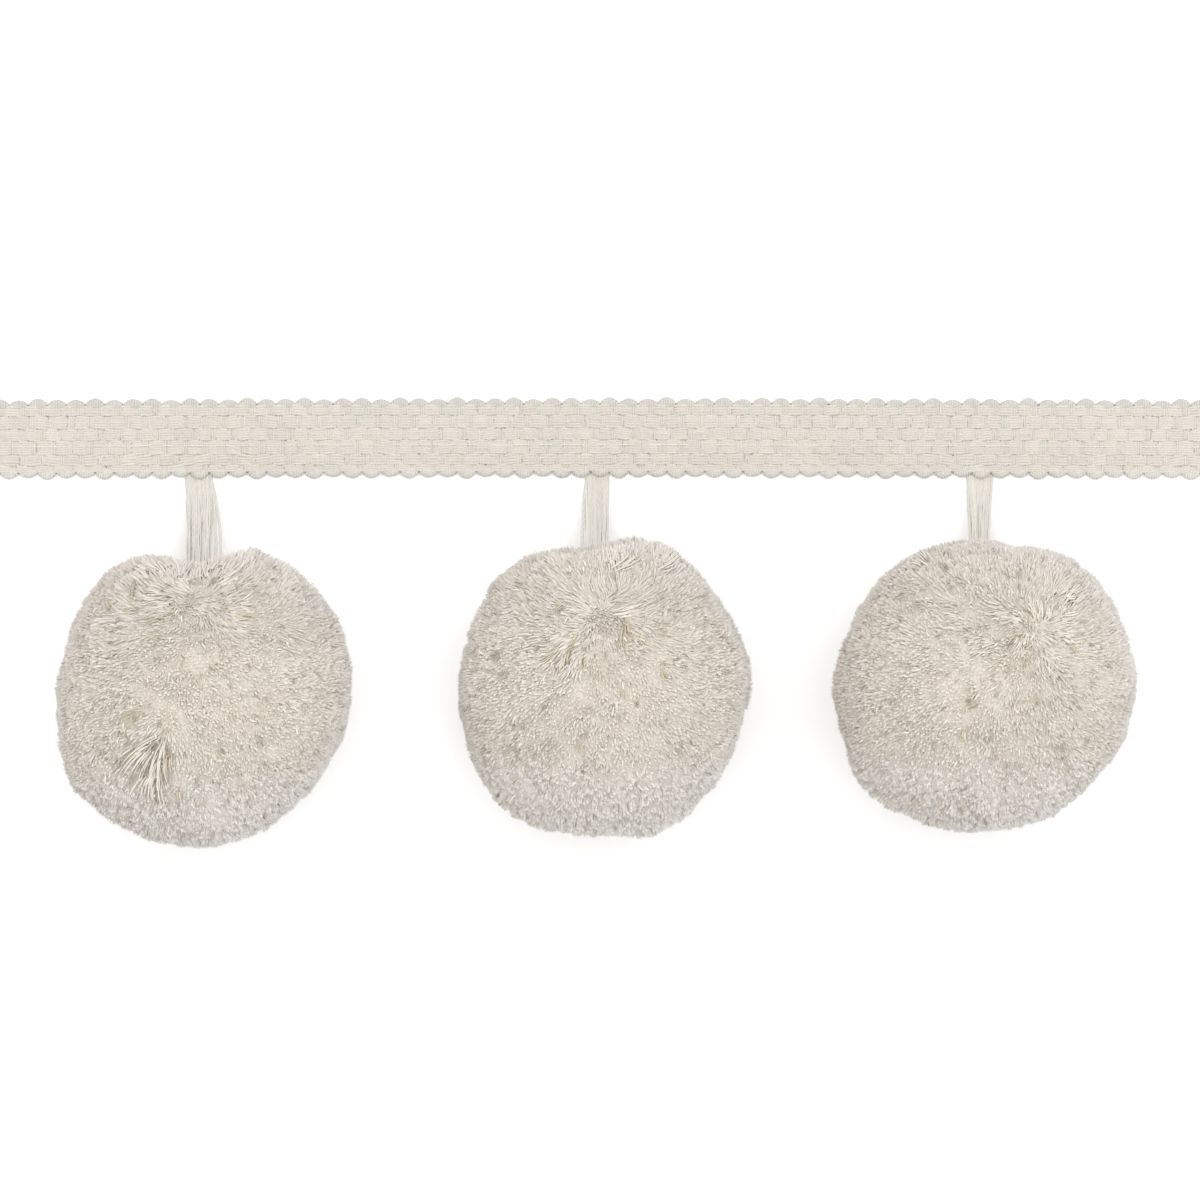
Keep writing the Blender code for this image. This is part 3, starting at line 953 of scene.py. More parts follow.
    def centre_thread(self, material: bpy.types.Material) -> bpy.types.Object:
        """Makes the fine pale thread that runs in and out along the braid's middle.

        Args:
            material: the finish.

        Returns:
            The thread as one object.
        """
        chance = np.random.default_rng(self.seed + 8)
        reach = self.length / 2 - self.thread_step
        x = np.arange(-reach, reach, self.thread_step)
        wave = SmoothField(self.seed + 9, self.thread_wave, 9)
        rise = wave.at(np.stack([x, x * 0, x * 0], axis=-1))
        z = self.thread_height + self.thread_rise * np.clip(rise * 1.8, -1.0, 0.75)
        y = self.thread_y + self.middle(x) - self.centre_y - self.bow
        y = y + np.cumsum(chance.normal(0, 0.02, len(x))) * 0.3
        paths = np.stack([x, y, z], axis=-1)[None]
        radii = np.full((1, len(x)), self.thread_radius)
        work = YarnMesh()
        work.add_tubes(paths, radii, 5, np.array([0.0, -1.0, 0.0]), Cotton.PALE.array()[None])
        return work.build("braid_centre_thread", material)

    def build(self, effects: SharedEffects) -> list[bpy.types.Object]:
        """Args:
            effects: the shared node groups.

        Returns:
            The braid's pieces.
        """
        row_pitch = (self.row_edges[-1] - self.row_edges[0]) / (len(self.row_edges) - 1)
        cloth = ClothFinish("braid_ground_cloth", self.repeat, row_pitch, self.centre_y).build(effects)
        yarn = YarnFinish(
            name="braid_yarn",
            softness=0.03,
            specks=0.05,
            speck_scale=1500.0,
            twist_shade=0.05,
            turns_per_mm=0.9,
            fibres=3.0,
            bump_mm=0.05,
            sheen=0.15,
        ).build(effects)
        ground = self.ground(cloth)
        trims = [
            self.floats(yarn),
            self.wefts(yarn),
            self.painted_pit_shade(yarn),
            self.selvedge(1, yarn),
            self.selvedge(-1, yarn),
            self.centre_thread(yarn),
        ]
        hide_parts("heading_braid")
        for piece in [ground, *trims]:
            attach(piece, BODY)
        return [ground, *trims]


@dataclass(frozen=True)
class Tufts:
    """The cut yarn ends of one pompom, as arrays with a row for each.

    Here towards is the direction from the pompom's middle, axis that of the yarn, and base its colour.
    Each of combed, puff and tone says how far it is laid over, loosened or lighter than the rest.
    """

    tips: np.ndarray
    towards: np.ndarray
    axis: np.ndarray
    combed: np.ndarray
    puff: np.ndarray
    base: np.ndarray
    tone: np.ndarray


@dataclass
class Pompom:
    """One cut pile pompom with the yarns that it hangs on."""

    number: int
    centre_x: float
    centre_y: float
    radius: float
    lobes: tuple[Lobe, ...]
    eyes: tuple[Eye, ...]
    streaks: tuple[Streak, ...]
    hanger_x: float
    hanger_braid_width: float
    hanger_tie_width: float
    hanger_tie_x: float
    loose_yarns: tuple[LooseYarn, ...]
    middle_height: float = 34.0
    body_depth: float = 1.2
    body_puff_depth: float = 0.35
    body_side_depth: float = 1.2
    # Painted shade of the middle, and its extra at the sides and below.
    body_shade: float = 0.80
    body_side_shade: float = 0.14
    tufts: int = 3000
    ends_per_tuft: int = 4
    ends_fan: float = 0.95
    wisps_per_tuft: int = 15
    wisps_fan: float = 1.25
    fibre_length: float = 2.3
    fibre_turn: float = 2.399
    lowest: float = 0.12
    steepest_lean_deg: float = 66.0
    gap_depth: float = 1.3
    flecks: int = 360
    shade_fleck_share: float = 0.009
    light_lift: float = 0.85
    # Painted shade of the fibre roots.
    root_shade: float = 0.99
    crowding: float = 0.78
    hanger_yarns: int = 11
    hanger_layers: int = 3
    hanger_layer_height: float = 0.42
    hanger_sides: int = 6
    hanger_steps: int = 30
    hanger_yarn_radius: float = 0.33
    loose_yarn_radius: float = 0.41
    core_radius: float = 24.0
    tie_elevation_deg: float = -20.0
    tie_length: float = 2.5
    lift_off_y: float = 35.8
    lift_pull: float = 11.0
    tie_pull: float = 10.0
    root_y: float = 41.3
    root_z: float = 0.42

    @property
    def middle(self) -> np.ndarray:
        """Returns the pompom's middle."""
        return np.array([self.centre_x, self.centre_y, self.middle_height])

    def reach(self, towards: np.ndarray) -> np.ndarray:
        """Returns how far the pile reaches in each direction, cut level where it meets the surface.

        Args:
            towards: unit vectors, n by 3.

        Returns:
            The reach from the middle for each.
        """
        reach = np.full(len(towards), self.radius)
        for lobe in self.lobes:
            aim = unit_direction(lobe.azimuth_deg, lobe.elevation_deg)
            apart = np.degrees(np.arccos(np.clip(towards @ aim, -1.0, 1.0)))
            reach += lobe.rise_mm * np.exp(-((apart / lobe.spread_deg) ** 2))
        floor = self.middle_height / np.maximum(-towards[:, 2], 1e-6)
        return np.minimum(reach, np.where(towards[:, 2] < 0.0, floor, np.inf))

    def surface_point(self, across: float, up: float) -> np.ndarray:
        """Finds the point of the pile's upper side that is seen at a place from above.

        Args:
            across: the place's distance to the right of the pompom's middle.
            up: its distance above the middle in the view.

        Returns:
            The point.
        """
        towards = np.array([across, up, math.sqrt(max(self.radius**2 - across**2 - up**2, 1.0))])
        towards = unit(towards)
        return self.middle + towards * self.reach(towards[None])[0]

    def body(self, material: bpy.types.Material) -> bpy.types.Object:
        """Makes the dense middle of the pompom, which shows in the partings.

        Args:
            material: the finish.

        Returns:
            The middle as one object.
        """
        data = bmesh.new()
        bmesh.ops.create_icosphere(data, subdivisions=4, radius=1.0)
        towards = unit(np.array([vert.co[:] for vert in data.verts]))
        clump = SmoothField(40 + self.number, 4.0)
        side = smooth_step(0.2, -0.3, towards[:, 2])
        depth = self.body_depth + self.body_puff_depth * self.puff(towards) + self.body_side_depth * side
        depth = depth + 0.2 * clump.at(towards * self.radius)
        places = self.middle + towards * (self.reach(towards) - depth)[:, None]
        faces = np.array([[vert.index for vert in face.verts] for face in data.faces])
        data.free()
        shape = YarnMesh()
        # Painted shade: the middle is coloured darker than the pile, and darker still at the sides and below,
        # for the shade deep in the pile.
        shade = self.root_shade * (self.body_shade - self.body_side_shade * side)
        shape.add_points(places, self.ground_tint_and_shade(towards) * shade[:, None])
        shape.triangles = [faces]
        return shape.build(f"pompom_{self.number}_body", material)

    def puff(self, outward: np.ndarray) -> np.ndarray:
        """Returns how far each direction belongs to the loose puffs of the lower third."""
        return smooth_step(-0.42, -0.62, outward[:, 1]) * smooth_step(-0.4, 0.0, outward[:, 2])

    def ground_tint_and_shade(self, outward: np.ndarray) -> np.ndarray:
        """Works out the pile's colour, lighter in the lower puffs, with painted shade: cooler at the rims,
        browner towards the left and darker towards the upper side near the hanger.

        Args:
            outward: directions from the middle, n by 3.

        Returns:
            The colours, n by 3.
        """
        # Painted shade: cooler at the rims all round and browner on the left side, where the light falls off.
        rim = mix(Cotton.COOL_RIM_SHADE.array(), Cotton.DUSK_SIDE_SHADE.array(), smooth_step(0.2, -0.7, outward[:, 0]))
        tint = mix(Cotton.CREAM.array(), Cotton.PUFF.array(), 0.8 * self.puff(outward))
        # Painted shade: darker towards the upper side, near the hanger.
        tint = tint * (1.0 - 0.08 * smooth_step(0.15, 0.6, outward[:, 1]))[:, None]
        level = smooth_step(0.60, 0.1, outward[:, 2]) * smooth_step(-0.5, 0.0, outward[:, 2])
        return mix(tint, rim, 0.6 * level)

    def lean(self, places: np.ndarray, outward: np.ndarray) -> tuple[np.ndarray, np.ndarray]:
        """Works out which way the pile leans and how far.

        Args:
            places: points of the pile's surface.
            outward: the direction away from the middle at each.

        Returns:
            Unit vectors along the surface, and angles in radians.
        """
        total = np.zeros_like(places)
        for eye in self.eyes:
            away = places - self.surface_point(eye.across, eye.up)
            distance = np.linalg.norm(away, axis=1)
            pull = math.radians(eye.lean_deg) * np.exp(-((distance / eye.reach) ** 2))
            total += unit(away) * pull[:, None]
        total *= (1.0 - 0.8 * self.puff(outward))[:, None]
        loose = 0.10 + 0.12 * smooth_step(-0.3, 0.5, outward[:, 1])
        for axis in range(3):
            wander = SmoothField(60 + 7 * self.number + axis, 11.0)
            total[:, axis] += wander.at(places) * loose
        total -= outward * (total * outward).sum(axis=1, keepdims=True)
        angle = np.linalg.norm(total, axis=1)
        return unit(total), np.minimum(angle, math.radians(self.steepest_lean_deg))

    def gap_share(self, places: np.ndarray) -> np.ndarray:
        """Works out how much each place lies in a parting.

        Args:
            places: points of the pile's surface, n by 3.

        Returns:
            A share from 0 to 1 for each.
        """
        share = np.zeros(len(places))
        for streak in self.streaks:
            if streak.tone is Cotton.PALE:
                continue
            turn = math.radians(streak.turn)
            start = self.surface_point(streak.across, streak.up)
            end = self.surface_point(
                streak.across + streak.length * math.cos(turn),
                streak.up + streak.length * math.sin(turn),
            )
            line = end - start
            position = np.clip(((places - start) @ line) / (line @ line), 0.0, 1.0)
            distance = np.linalg.norm(places - start - position[:, None] * line, axis=1)
            share = np.maximum(share, np.exp(-((distance / (streak.width * 1.2)) ** 2)))
        return share

    def strand_path(self, across: float, up: float, turn: float, length: float, lift: float) -> np.ndarray:
        """Returns a path of five points that lies along the pile's upper side.

        Args:
            across: where it starts.
            up: where it starts.
            turn: its direction in radians.
            length: its length as seen from above.
            lift: its height over the pile.

        Returns:
            The points.
        """
        points = []
        for share in np.linspace(0.0, 1.0, 5):
            bend = turn + 0.25 * (share - 0.5)
            place = self.surface_point(
                across + length * share * math.cos(bend),
                up + length * share * math.sin(bend),
            )
            sink = lift - 0.5 * (1.0 - math.sin(math.pi * (0.25 + 0.6 * share)))
            points.append(place + unit(place - self.middle) * sink)
        return np.array(points)

    def strands(self, material: bpy.types.Material) -> bpy.types.Object:
        """Makes the combed strands, the dark strands that paint the shade in partings and the small flecks
        between the tufts, most of them dark as painted shade.

        Args:
            material: the finish.

        Returns:
            The strands as one object.
        """
        chance = np.random.default_rng(300 + self.number)
        paths, radii, tints = [], [], []
        for streak in self.streaks:
            pale = streak.tone is Cotton.PALE
            for strand in range(streak.strands):
                side = (strand + 0.5) / streak.strands - 0.5
                turn = math.radians(streak.turn + side * streak.fan)
                normal = turn + math.pi / 2
                shift = side * streak.width * 2.2 + chance.normal(0, 0.1)
                late = chance.uniform(0, 0.45) * streak.length
                across = streak.across + shift * math.cos(normal) + late * math.cos(turn)
                up = streak.up + shift * math.sin(normal) + late * math.sin(turn)
                length = min(streak.length * chance.uniform(0.4, 0.8), streak.length - late)
                lift = chance.uniform(0.05, 0.35) if pale else chance.uniform(0.1, 0.3)
                paths.append(self.strand_path(across, up, turn, length, lift))
                thick = chance.uniform(0.18, 0.30) if pale else chance.uniform(0.14, 0.28)
                radii.append(thick * np.array([0.5, 0.9, 1.0, 0.8, 0.2]))
                blend = chance.uniform(0.75, 1.0) if pale else chance.uniform(0.0, 0.45)
                tint = mix(streak.tone.array(), Cotton.CREAM.array(), np.array(blend))
                # Painted shade: pale strands are darkened a little, as the pile around them would shade them.
                tints.append(tint * (0.92 if pale else 1.0))
        eye = self.eyes[0]
        for _ in range(self.flecks):
            distance = self.radius * 0.92 * math.sqrt(chance.random())
            place = chance.uniform(0, FULL_TURN)
            across, up = distance * math.cos(place), distance * math.sin(place)
            turn = math.atan2(up - eye.up, across - eye.across) + chance.normal(0, 0.35)
            # Most flecks are dark, painted shade between the yarns; the rest are pale strands.
            dark = chance.random() < 0.85
            lift = chance.uniform(0.3, 0.5)
            paths.append(self.strand_path(across, up, turn, chance.uniform(0.8, 2.1), lift))
            radii.append(chance.uniform(0.12, 0.22) * np.array([0.4, 1.0, 1.0, 0.7, 0.3]))
            tone = Cotton.OLIVE_TONE_AND_PAINTED_SHADE if chance.random() < 0.3 else Cotton.SHADED
            tint = tone.array() if dark else Cotton.PALE.array()
            tints.append(mix(tint, Cotton.CREAM.array(), np.array(chance.uniform(0.0, 0.5))))
        work = YarnMesh()
        level = np.array([0.0, 0.0, 1.0])
        work.add_tubes(np.stack(paths), np.stack(radii), 4, level, np.stack(tints))
        return work.build(f"pompom_{self.number}_strands", material)

    def pile(self, material: bpy.types.Material) -> list[bpy.types.Object]:
        """Makes the cut pile: tufts that open at their ends, leaning away from the pompom's eyes.

        Args:
            material: the finish.

        Returns:
            The blunt yarn ends and the fine fuzz, each as one object.
        """
        chance = np.random.default_rng(100 + self.number)
        index = np.arange(self.tufts) + 0.5
        turned = index / self.tufts
        height = 1.0 - 2.0 * turned * (self.crowding + (1.0 - self.crowding) * turned)
        level = np.sqrt(1.0 - height**2)
        place = GOLDEN_TURN * index
        towards = np.stack([level * np.cos(place), level * np.sin(place), height], axis=-1)
        towards = unit(towards + chance.normal(0, 0.014, towards.shape))
        coarse = SmoothField(20 + self.number, 9.0)
        puff = self.puff(towards)
        uneven = chance.normal(0, 1.0, self.tufts) * (0.08 + 0.12 * puff)
        reach = self.reach(towards) + 0.25 * coarse.at(towards * self.radius) + uneven
        tips = self.middle + towards * reach[:, None]
        along, angle = self.lean(tips, towards)
        axis = unit(towards * np.cos(angle)[:, None] + along * np.sin(angle)[:, None])
        combed = smooth_step(0.45, 0.95, angle)
        base = self.ground_tint_and_shade(towards)
        tuft_tone = chance.normal(0, 1.0, self.tufts)
        tufts = Tufts(tips, towards, axis, combed, puff, base, tuft_tone)
        ends = YarnMesh()
        self.add_ends(ends, tufts, chance)
        fuzz = YarnMesh()
        self.add_fuzz(fuzz, tufts, chance)
        return [
            ends.build(f"pompom_{self.number}_pile_ends", material),
            fuzz.build(f"pompom_{self.number}_pile_fuzz", material),
        ]

    def spread_fibres(
        self,
        tufts: Tufts,
        count: int,
        chance: np.random.Generator,
        fan: float,
    ) -> tuple[np.ndarray, np.ndarray, np.ndarray, np.ndarray]:
        """Places fibres in every tuft, opened out as the cut end of a yarn opens.

        Args:
            tufts: the tufts.
            count: fibres in each tuft.
            chance: source of random numbers.
            fan: how far the fibres spread at their ends, in millimetres.

        Returns:
            Roots, tips and the direction that each fibre is shaded towards, each tufts by count by 3,
            and how much each fibre lies in a parting.
        """
        side = unit(np.cross(tufts.axis, unit(chance.normal(size=tufts.axis.shape))))
        cross = np.cross(tufts.axis, side)
        spin = chance.uniform(0, FULL_TURN, (self.tufts, 1)) + np.arange(count) * self.fibre_turn
        puff = tufts.puff[:, None]
        even = np.sqrt((np.arange(count) + 0.4) / count)
        spread = even * chance.uniform(0.85, 1.25, (self.tufts, count)) * fan * (1.4 - 0.4 * puff)
        offset = (
            side[:, None, :] * (np.cos(spin) * spread)[..., None]
            + cross[:, None, :] * (np.sin(spin) * spread)[..., None]
        )
        combed = tufts.combed[:, None]
        drop = (0.05 + 0.27 * puff) * spread**2
        drop = drop + chance.normal(0, 0.035, drop.shape) + combed * chance.uniform(0, 1.1, drop.shape)
        tips = tufts.tips[:, None, :] + offset - tufts.axis[:, None, :] * drop[..., None]
        gap = self.gap_share(tips.reshape(-1, 3)).reshape(drop.shape)
        tips = tips - tufts.towards[:, None, :] * (gap * self.gap_depth)[..., None]
        length = self.fibre_length * (1.0 + 0.45 * combed) * chance.uniform(0.85, 1.1, drop.shape)
        roots = tips - offset * 0.55 - tufts.axis[:, None, :] * length[..., None]
        facing = tufts.towards[:, None, :] + offset * (0.12 + 0.26 * puff)[..., None]
        lift = self.light_lift * smooth_step(-0.5, 0.05, tufts.towards[:, 2])
        facing[..., 2] += lift[:, None]
        for group in (tips, roots):
            group[..., 2] = np.maximum(group[..., 2], self.lowest)
        return roots, tips, unit(facing), gap

    def tints(
        self,
        tufts: Tufts,
        gap: np.ndarray,
        chance: np.random.Generator,
    ) -> tuple[np.ndarray, np.ndarray]:
        """Works out the colour of each fibre at its root and at its tip, with painted shade at the roots, in
        the partings and in a few dark flecks.

        Args:
            tufts: the tufts.
            gap: how much each fibre lies in a parting, tufts by count.
            chance: source of random numbers.

        Returns:
            Two arrays of tufts by count by 3.
        """
        count = gap.shape[1]
        tone = 0.25 * tufts.tone[:, None] + chance.normal(0, 0.55, (self.tufts, count))
        tint = np.repeat(tufts.base[:, None, :], count, axis=1)
        tint = mix(tint, Cotton.PALE.array(), np.clip(tone, 0.0, 2.0) * 0.13)
        tint = mix(tint, Cotton.OLIVE_TONE_AND_PAINTED_SHADE.array(), np.clip(-tone, 0.0, 2.0) * 0.03)
        # Painted shade: a few fibres are darkened as flecks, for the shade between yarns.
        shade_fleck = chance.random((self.tufts, count)) < self.shade_fleck_share
        tint = mix(tint, Cotton.SHADED.array(), shade_fleck * chance.uniform(0.4, 1.0, shade_fleck.shape))
        # Painted shade: fibres in partings are tinted olive and darker.
        tint = mix(tint, Cotton.OLIVE_TONE_AND_PAINTED_SHADE.array(), np.clip(gap * 1.1, 0.0, 0.9))
        # Painted shade: roots are a little darker than tips.
        return tint * self.root_shade, tint

    def add_ends(self, work: YarnMesh, tufts: Tufts, chance: np.random.Generator) -> None:
        """Adds the blunt fibres of every tuft to a mesh.

        Args:
            work: the mesh.
            tufts: the tufts.
            chance: source of random numbers.
        """
        roots, tips, facing, gap = self.spread_fibres(tufts, self.ends_per_tuft, chance, self.ends_fan)
        root_tint, tint = self.tints(tufts, gap, chance)
        total = self.tufts * self.ends_per_tuft
        sway = chance.normal(0, 0.12, tips.shape)
        shoulders = tips - unit(tips - roots) * 0.5 + sway
        shoulders[..., 2] = np.maximum(shoulders[..., 2], self.lowest)
        thin = 1.0 - 0.35 * np.repeat(tufts.combed, self.ends_per_tuft)
        rings = [
            (roots.reshape(-1, 3), chance.uniform(0.22, 0.30, total)),
            (shoulders.reshape(-1, 3), chance.uniform(0.28, 0.40, total) * thin),
        ]
        rest = [part.reshape(-1, 3) for part in (tips, root_tint, tint, facing)]
        work.add_fibres(rings, *rest)

    def add_fuzz(self, work: YarnMesh, tufts: Tufts, chance: np.random.Generator) -> None:
        """Adds the fine pointed fibres of every tuft to a mesh.

        Args:
            work: the mesh.
            tufts: the tufts.
            chance: source of random numbers.
        """
        roots, tips, facing, gap = self.spread_fibres(tufts, self.wisps_per_tuft, chance, self.wisps_fan)
        root_tint, tint = self.tints(tufts, gap, chance)
        total = self.tufts * self.wisps_per_tuft
        tips = tips + facing * chance.uniform(-0.1, 0.35, tips.shape[:2])[..., None]
        tips[..., 2] = np.maximum(tips[..., 2], self.lowest)
        rings = [(roots.reshape(-1, 3), chance.uniform(0.26, 0.38, total))]
        rest = [part.reshape(-1, 3) for part in (tips, root_tint, tint, facing)]
        work.add_fibres(rings, *rest)

    def hanger_route(self, braid_offset: float, tie_offset: float, bulge: float, layer: float) -> np.ndarray:
        """Works out the path of one hanging yarn, level under the braid and then up to the pompom's core.

        Args:
            braid_offset: where it leaves the braid, from the bundle's centre line.
            tie_offset: where it meets the core.
            bulge: how far it sags sideways midway.
            layer: how far above or below the bundle's middle it ends.

        Returns:
            The path's points.
        """
        share = np.linspace(0.0, 1.0, self.hanger_steps)
        tie = math.radians(self.tie_elevation_deg)
        outward = np.array([0.0, math.cos(tie), math.sin(tie)])
        start = np.array([0.0, self.lift_off_y, self.root_z])
        start_handle = start + np.array([0.0, -self.lift_pull, 0.0])
        end = self.middle * np.array([0.0, 1.0, 1.0]) + outward * (self.core_radius - self.tie_length)
        end_handle = end + outward * self.tie_pull
        rest = 1.0 - share
        curve = (
            start * (rest**3)[:, None]
            + start_handle * (3 * rest**2 * share)[:, None]
            + end_handle * (3 * rest * share**2)[:, None]
            + end * (share**3)[:, None]
        )
        across = np.array([0.0, -outward[2], outward[1]])
        curve = curve + across * (layer * smooth_step(0.0, 0.5, share))[:, None]
        braid_x = self.hanger_x + braid_offset
        tie_x = self.hanger_tie_x + tie_offset
        curve[:, 0] = braid_x + (tie_x - braid_x) * share + bulge * np.sin(math.pi * share)
        under = np.linspace(self.root_y, self.lift_off_y + 0.5, 5)
        root = np.stack([np.full(5, braid_x), under, np.full(5, self.root_z)], axis=-1)
        return np.concatenate([root, curve])

    def hanger(self, material: bpy.types.Material) -> bpy.types.Object:
        """Makes the bundle of fine yarns that carries the pompom.

        Args:
            material: the finish.

        Returns:
            The bundle as one object.
        """
        chance = np.random.default_rng(200 + self.number)
        routes = []
        width = self.hanger_braid_width - 2 * self.hanger_yarn_radius
        tie_width = self.hanger_tie_width - 2 * self.hanger_yarn_radius
        for layer in range(self.hanger_layers):
            height = (layer - (self.hanger_layers - 1) / 2) * self.hanger_layer_height
            count = self.hanger_yarns - layer % 2
            for yarn in range(count):
                side = (yarn - (count - 1) / 2) / (self.hanger_yarns - 1)
                braid_side = side * width + chance.normal(0, 0.08)
                tie_side = (side + chance.normal(0, 0.05)) * tie_width
                place = height + chance.normal(0, 0.14)
                routes.append(self.hanger_route(braid_side, tie_side, chance.normal(0, 0.15), place))
        for yarn in self.loose_yarns:
            routes.append(self.hanger_route(yarn.braid_offset, yarn.tie_offset, yarn.bulge, 0.0))
        paths = np.stack(routes)
        wander = SmoothField(80 + self.number, 12.0)
        fade = smooth_step(0.0, 0.3, np.linspace(0, 1, paths.shape[1]))
        for number in range(len(paths)):
            paths[number, :, 0] += 0.08 * fade * wander.at(paths[number] + 50.0 * number)
            paths[number, :, 2] += 0.08 * fade * wander.at(paths[number] + 50.0 * number + 25.0)
        paths[..., 2] = np.maximum(paths[..., 2], self.hanger_yarn_radius + 0.02)
        thickness = self.hanger_yarn_radius * chance.uniform(0.88, 1.10, (len(paths), 1))
        radii = np.repeat(thickness, paths.shape[1], axis=1)
        if self.loose_yarns:
            radii[-len(self.loose_yarns) :] = self.loose_yarn_radius
        colours = Cotton.SKEIN.array()[None] * chance.normal(1.0, 0.03, (len(paths), 1))
        work = YarnMesh()
        work.add_tubes(paths, radii, self.hanger_sides, np.array([1.0, 0.0, 0.0]), colours)
        return work.build(f"hanger_{self.number}_yarns", material)

    def build(
        self,
        pile_finish: bpy.types.Material,
        body_finish: bpy.types.Material,
        skein_finish: bpy.types.Material,
    ) -> list[bpy.types.Object]:
        """Makes the pompom and its hanger.

        Args:
            pile_finish: finish of the cut pile.
            body_finish: finish of the dense yarns beneath it.
            skein_finish: finish of the hanging yarns.

        Returns:
            The pieces.
        """
        body = self.body(body_finish)
        ends, fuzz = self.pile(pile_finish)
        strands = self.strands(pile_finish)
        hanger = self.hanger(skein_finish)
        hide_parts(f"pompom_{self.number}")
        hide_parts(f"hanger_{self.number}")
        for piece in (body, ends, fuzz, strands, hanger):
            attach(piece, BODY)
        return [body, ends, fuzz, strands, hanger]


@dataclass
class Studio:
    """The pale surface, the lights and the camera."""

    frame_width: float = 300.0
    frame_centre_y: float = 5.5
    frame_height: float = 20.0
    lens: float = 300.0
    sensor: float = 36.0
    floor_half: float = 2500.0
    floor_colour: Colour = (0.93, 0.93, 0.925)
    floor_glow: float = 0.18
    key_size: float = 2.4
    key_power: float = 34.0
    key_place: tuple[float, float, float] = (0.15, 0.35, 2.2)
    sky_strength: float = 0.86
    sky_colour: Colour = (0.97, 0.985, 1.0)
    key_colour: Colour = (1.0, 0.975, 0.94)

    def camera(self) -> bpy.types.Object:
        """Makes the camera, straight above the trim.

        Returns:
            The camera.
        """
        data = bpy.data.cameras.new("camera")
        data.lens = self.lens
        data.sensor_width = self.sensor
        data.clip_end = 20.0
        item = bpy.data.objects.new("camera", data)
        distance = self.frame_width * self.lens / self.sensor
        item.location = Vector((0.0, self.frame_centre_y, self.frame_height + distance)) * MM
        bpy.context.scene.collection.objects.link(item)
        bpy.context.scene.camera = item
        return item

    def floor(self) -> bpy.types.Object:
        """Makes the plain pale surface.

        Returns:
            The surface.
        """
        half = self.floor_half * MM
        corners = [(-half, -half, 0), (half, -half, 0), (half, half, 0), (-half, half, 0)]
        mesh = bpy.data.meshes.new("floor")
        mesh.from_pydata(corners, [], [(0, 1, 2, 3)])
        material = bpy.data.materials.new("pale_surface")
        material.use_nodes = True
        shader = material.node_tree.nodes["Principled BSDF"]
        shader.inputs["Base Color"].default_value = (*self.floor_colour, 1.0)
        shader.inputs["Roughness"].default_value = 0.9
        shader.inputs["Specular IOR Level"].default_value = 0.1
        shader.inputs["Emission Color"].default_value = (1.0, 1.0, 1.0, 1.0)
        shader.inputs["Emission Strength"].default_value = self.floor_glow
        mesh.materials.append(material)
        item = bpy.data.objects.new("floor", mesh)
        bpy.context.scene.collection.objects.link(item)
        return item

    def lights(self) -> None:
        """Makes one large soft light and an even sky."""
        lamp = bpy.data.lights.new("key_light", "AREA")
        lamp.size = self.key_size
        lamp.energy = self.key_power
        lamp.color = self.key_colour
        item = bpy.data.objects.new("key_light", lamp)
        item.location = self.key_place
        aim = Vector((0.0, 0.0, 0.0)) - Vector(self.key_place)
        item.rotation_euler = aim.to_track_quat("-Z", "Y").to_euler()
        bpy.context.scene.collection.objects.link(item)
        world = bpy.data.worlds.new("sky")
        world.use_nodes = True
        sky = world.node_tree.nodes["Background"]
        sky.inputs["Color"].default_value = (*self.sky_colour, 1.0)
        sky.inputs["Strength"].default_value = self.sky_strength
        bpy.context.scene.world = world

    def build(self) -> None:
        """Makes the whole studio with plain colour handling."""
        self.camera()
        self.floor()
        self.lights()
        bpy.context.scene.view_settings.view_transform = "Standard"
        bpy.context.scene.view_settings.look = "None"


